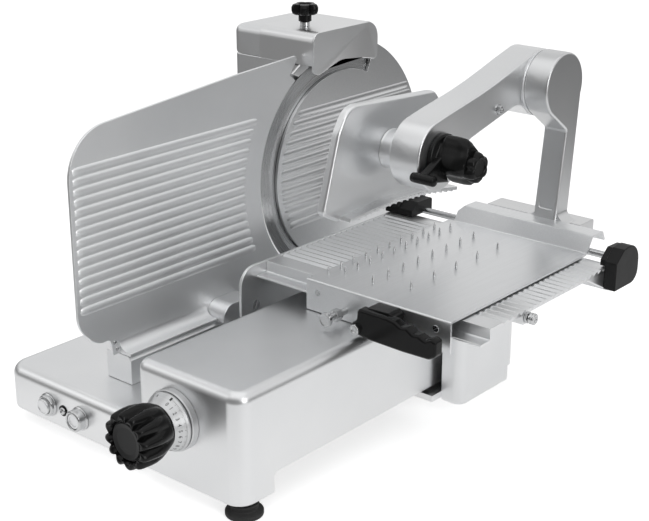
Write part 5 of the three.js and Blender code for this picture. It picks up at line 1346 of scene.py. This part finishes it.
# The bright table in the reflections, and the floor, in metres
TABLE_CENTRE = (0.15, 0.2, 0)
TABLE_REACH = 0.7
ROOM_START = 1.2
FLOOR_REACH = 8

# How high a direction points where the dim room ends and where the full ceiling starts
ROOM_TOP = 0.26
CEILING_START = 0.44


def floor():
    """A pale floor that keeps the slicer's shadow, and ends in a dim room as far as reflections go."""
    ground = Finish("pale_floor", "none")
    seen = ground.node("ShaderNodeLightPath", output="Is Camera Ray")
    mirrored = ground.node("ShaderNodeLightPath", output="Is Glossy Ray")
    mottle = ground.grain((3, 3, 3), 2)

    def glow(level):
        return ground.node("ShaderNodeEmission", None, {"Color": grey(1.0), "Strength": level})

    def blend(share, first, second):
        return ground.node("ShaderNodeMixShader", None, {0: share, 1: first, 2: second})

    shade = ground.node("ShaderNodeBsdfDiffuse", None, {"Color": ground.mix(mottle, grey(0.86), grey(0.88))})
    bright = ground.node("ShaderNodeAddShader", None, {0: shade, 1: glow(SEEN_GLOW)})
    from_centre = ground.vector_math("SUBTRACT", ground.place(), TABLE_CENTRE)
    away = ground.vector_math("LENGTH", from_centre, output="Value")
    table = blend(0.6, shade, glow(MIRRORED_TABLE))
    reflected = blend(away.between(TABLE_REACH, ROOM_START), table, glow(ROOM_LEVEL))
    whole = blend(mirrored, blend(seen, shade, bright), reflected)
    ground.node("ShaderNodeOutputMaterial", None, {"Surface": whole})
    mesh = bpy.data.meshes.new("floor")
    mesh.from_pydata([(FLOOR_REACH * x, FLOOR_REACH * y, 0) for x, y in SQUARE], [], [(0, 1, 2, 3)])
    mesh.materials.append(ground.material)
    add_object("floor", mesh)


def surroundings():
    """White behind the slicer, an even light from all round, and a room that is dim at eye level."""
    world = bpy.data.worlds.new("studio")
    bpy.context.scene.world = world
    studio = Shader(world)
    seen = studio.node("ShaderNodeLightPath", output="Is Camera Ray")
    clear = studio.node("ShaderNodeLightPath", output="Is Transmission Ray")
    mirrored = studio.node("ShaderNodeLightPath", output="Is Glossy Ray")
    direction = studio.node("ShaderNodeTexCoord", output="Generated")
    across, along, up = [
        studio.node("ShaderNodeSeparateXYZ", None, {"Vector": direction}, output=axis) for axis in "XYZ"]
    # The ceiling comes lower behind the slicer and to its left, and is dimmer overhead
    height = up + 0.3 * along - 0.12 * across
    ceiling = height.between(ROOM_TOP, CEILING_START) * (1 - ZENITH_DROP * up.between(0.6, 0.92))
    reflected = ROOM_LEVEL + (CEILING_LEVEL - ROOM_LEVEL) * ceiling
    even = EVEN_LEVEL * (1 - mirrored) + reflected * mirrored
    white = seen.math("MAXIMUM", seen, clear)
    background = studio.node(
        "ShaderNodeBackground", None, {"Color": grey(1.0), "Strength": even * (1 - white) + white})
    studio.node("ShaderNodeOutputWorld", None, {"Surface": background})


floor()
surroundings()
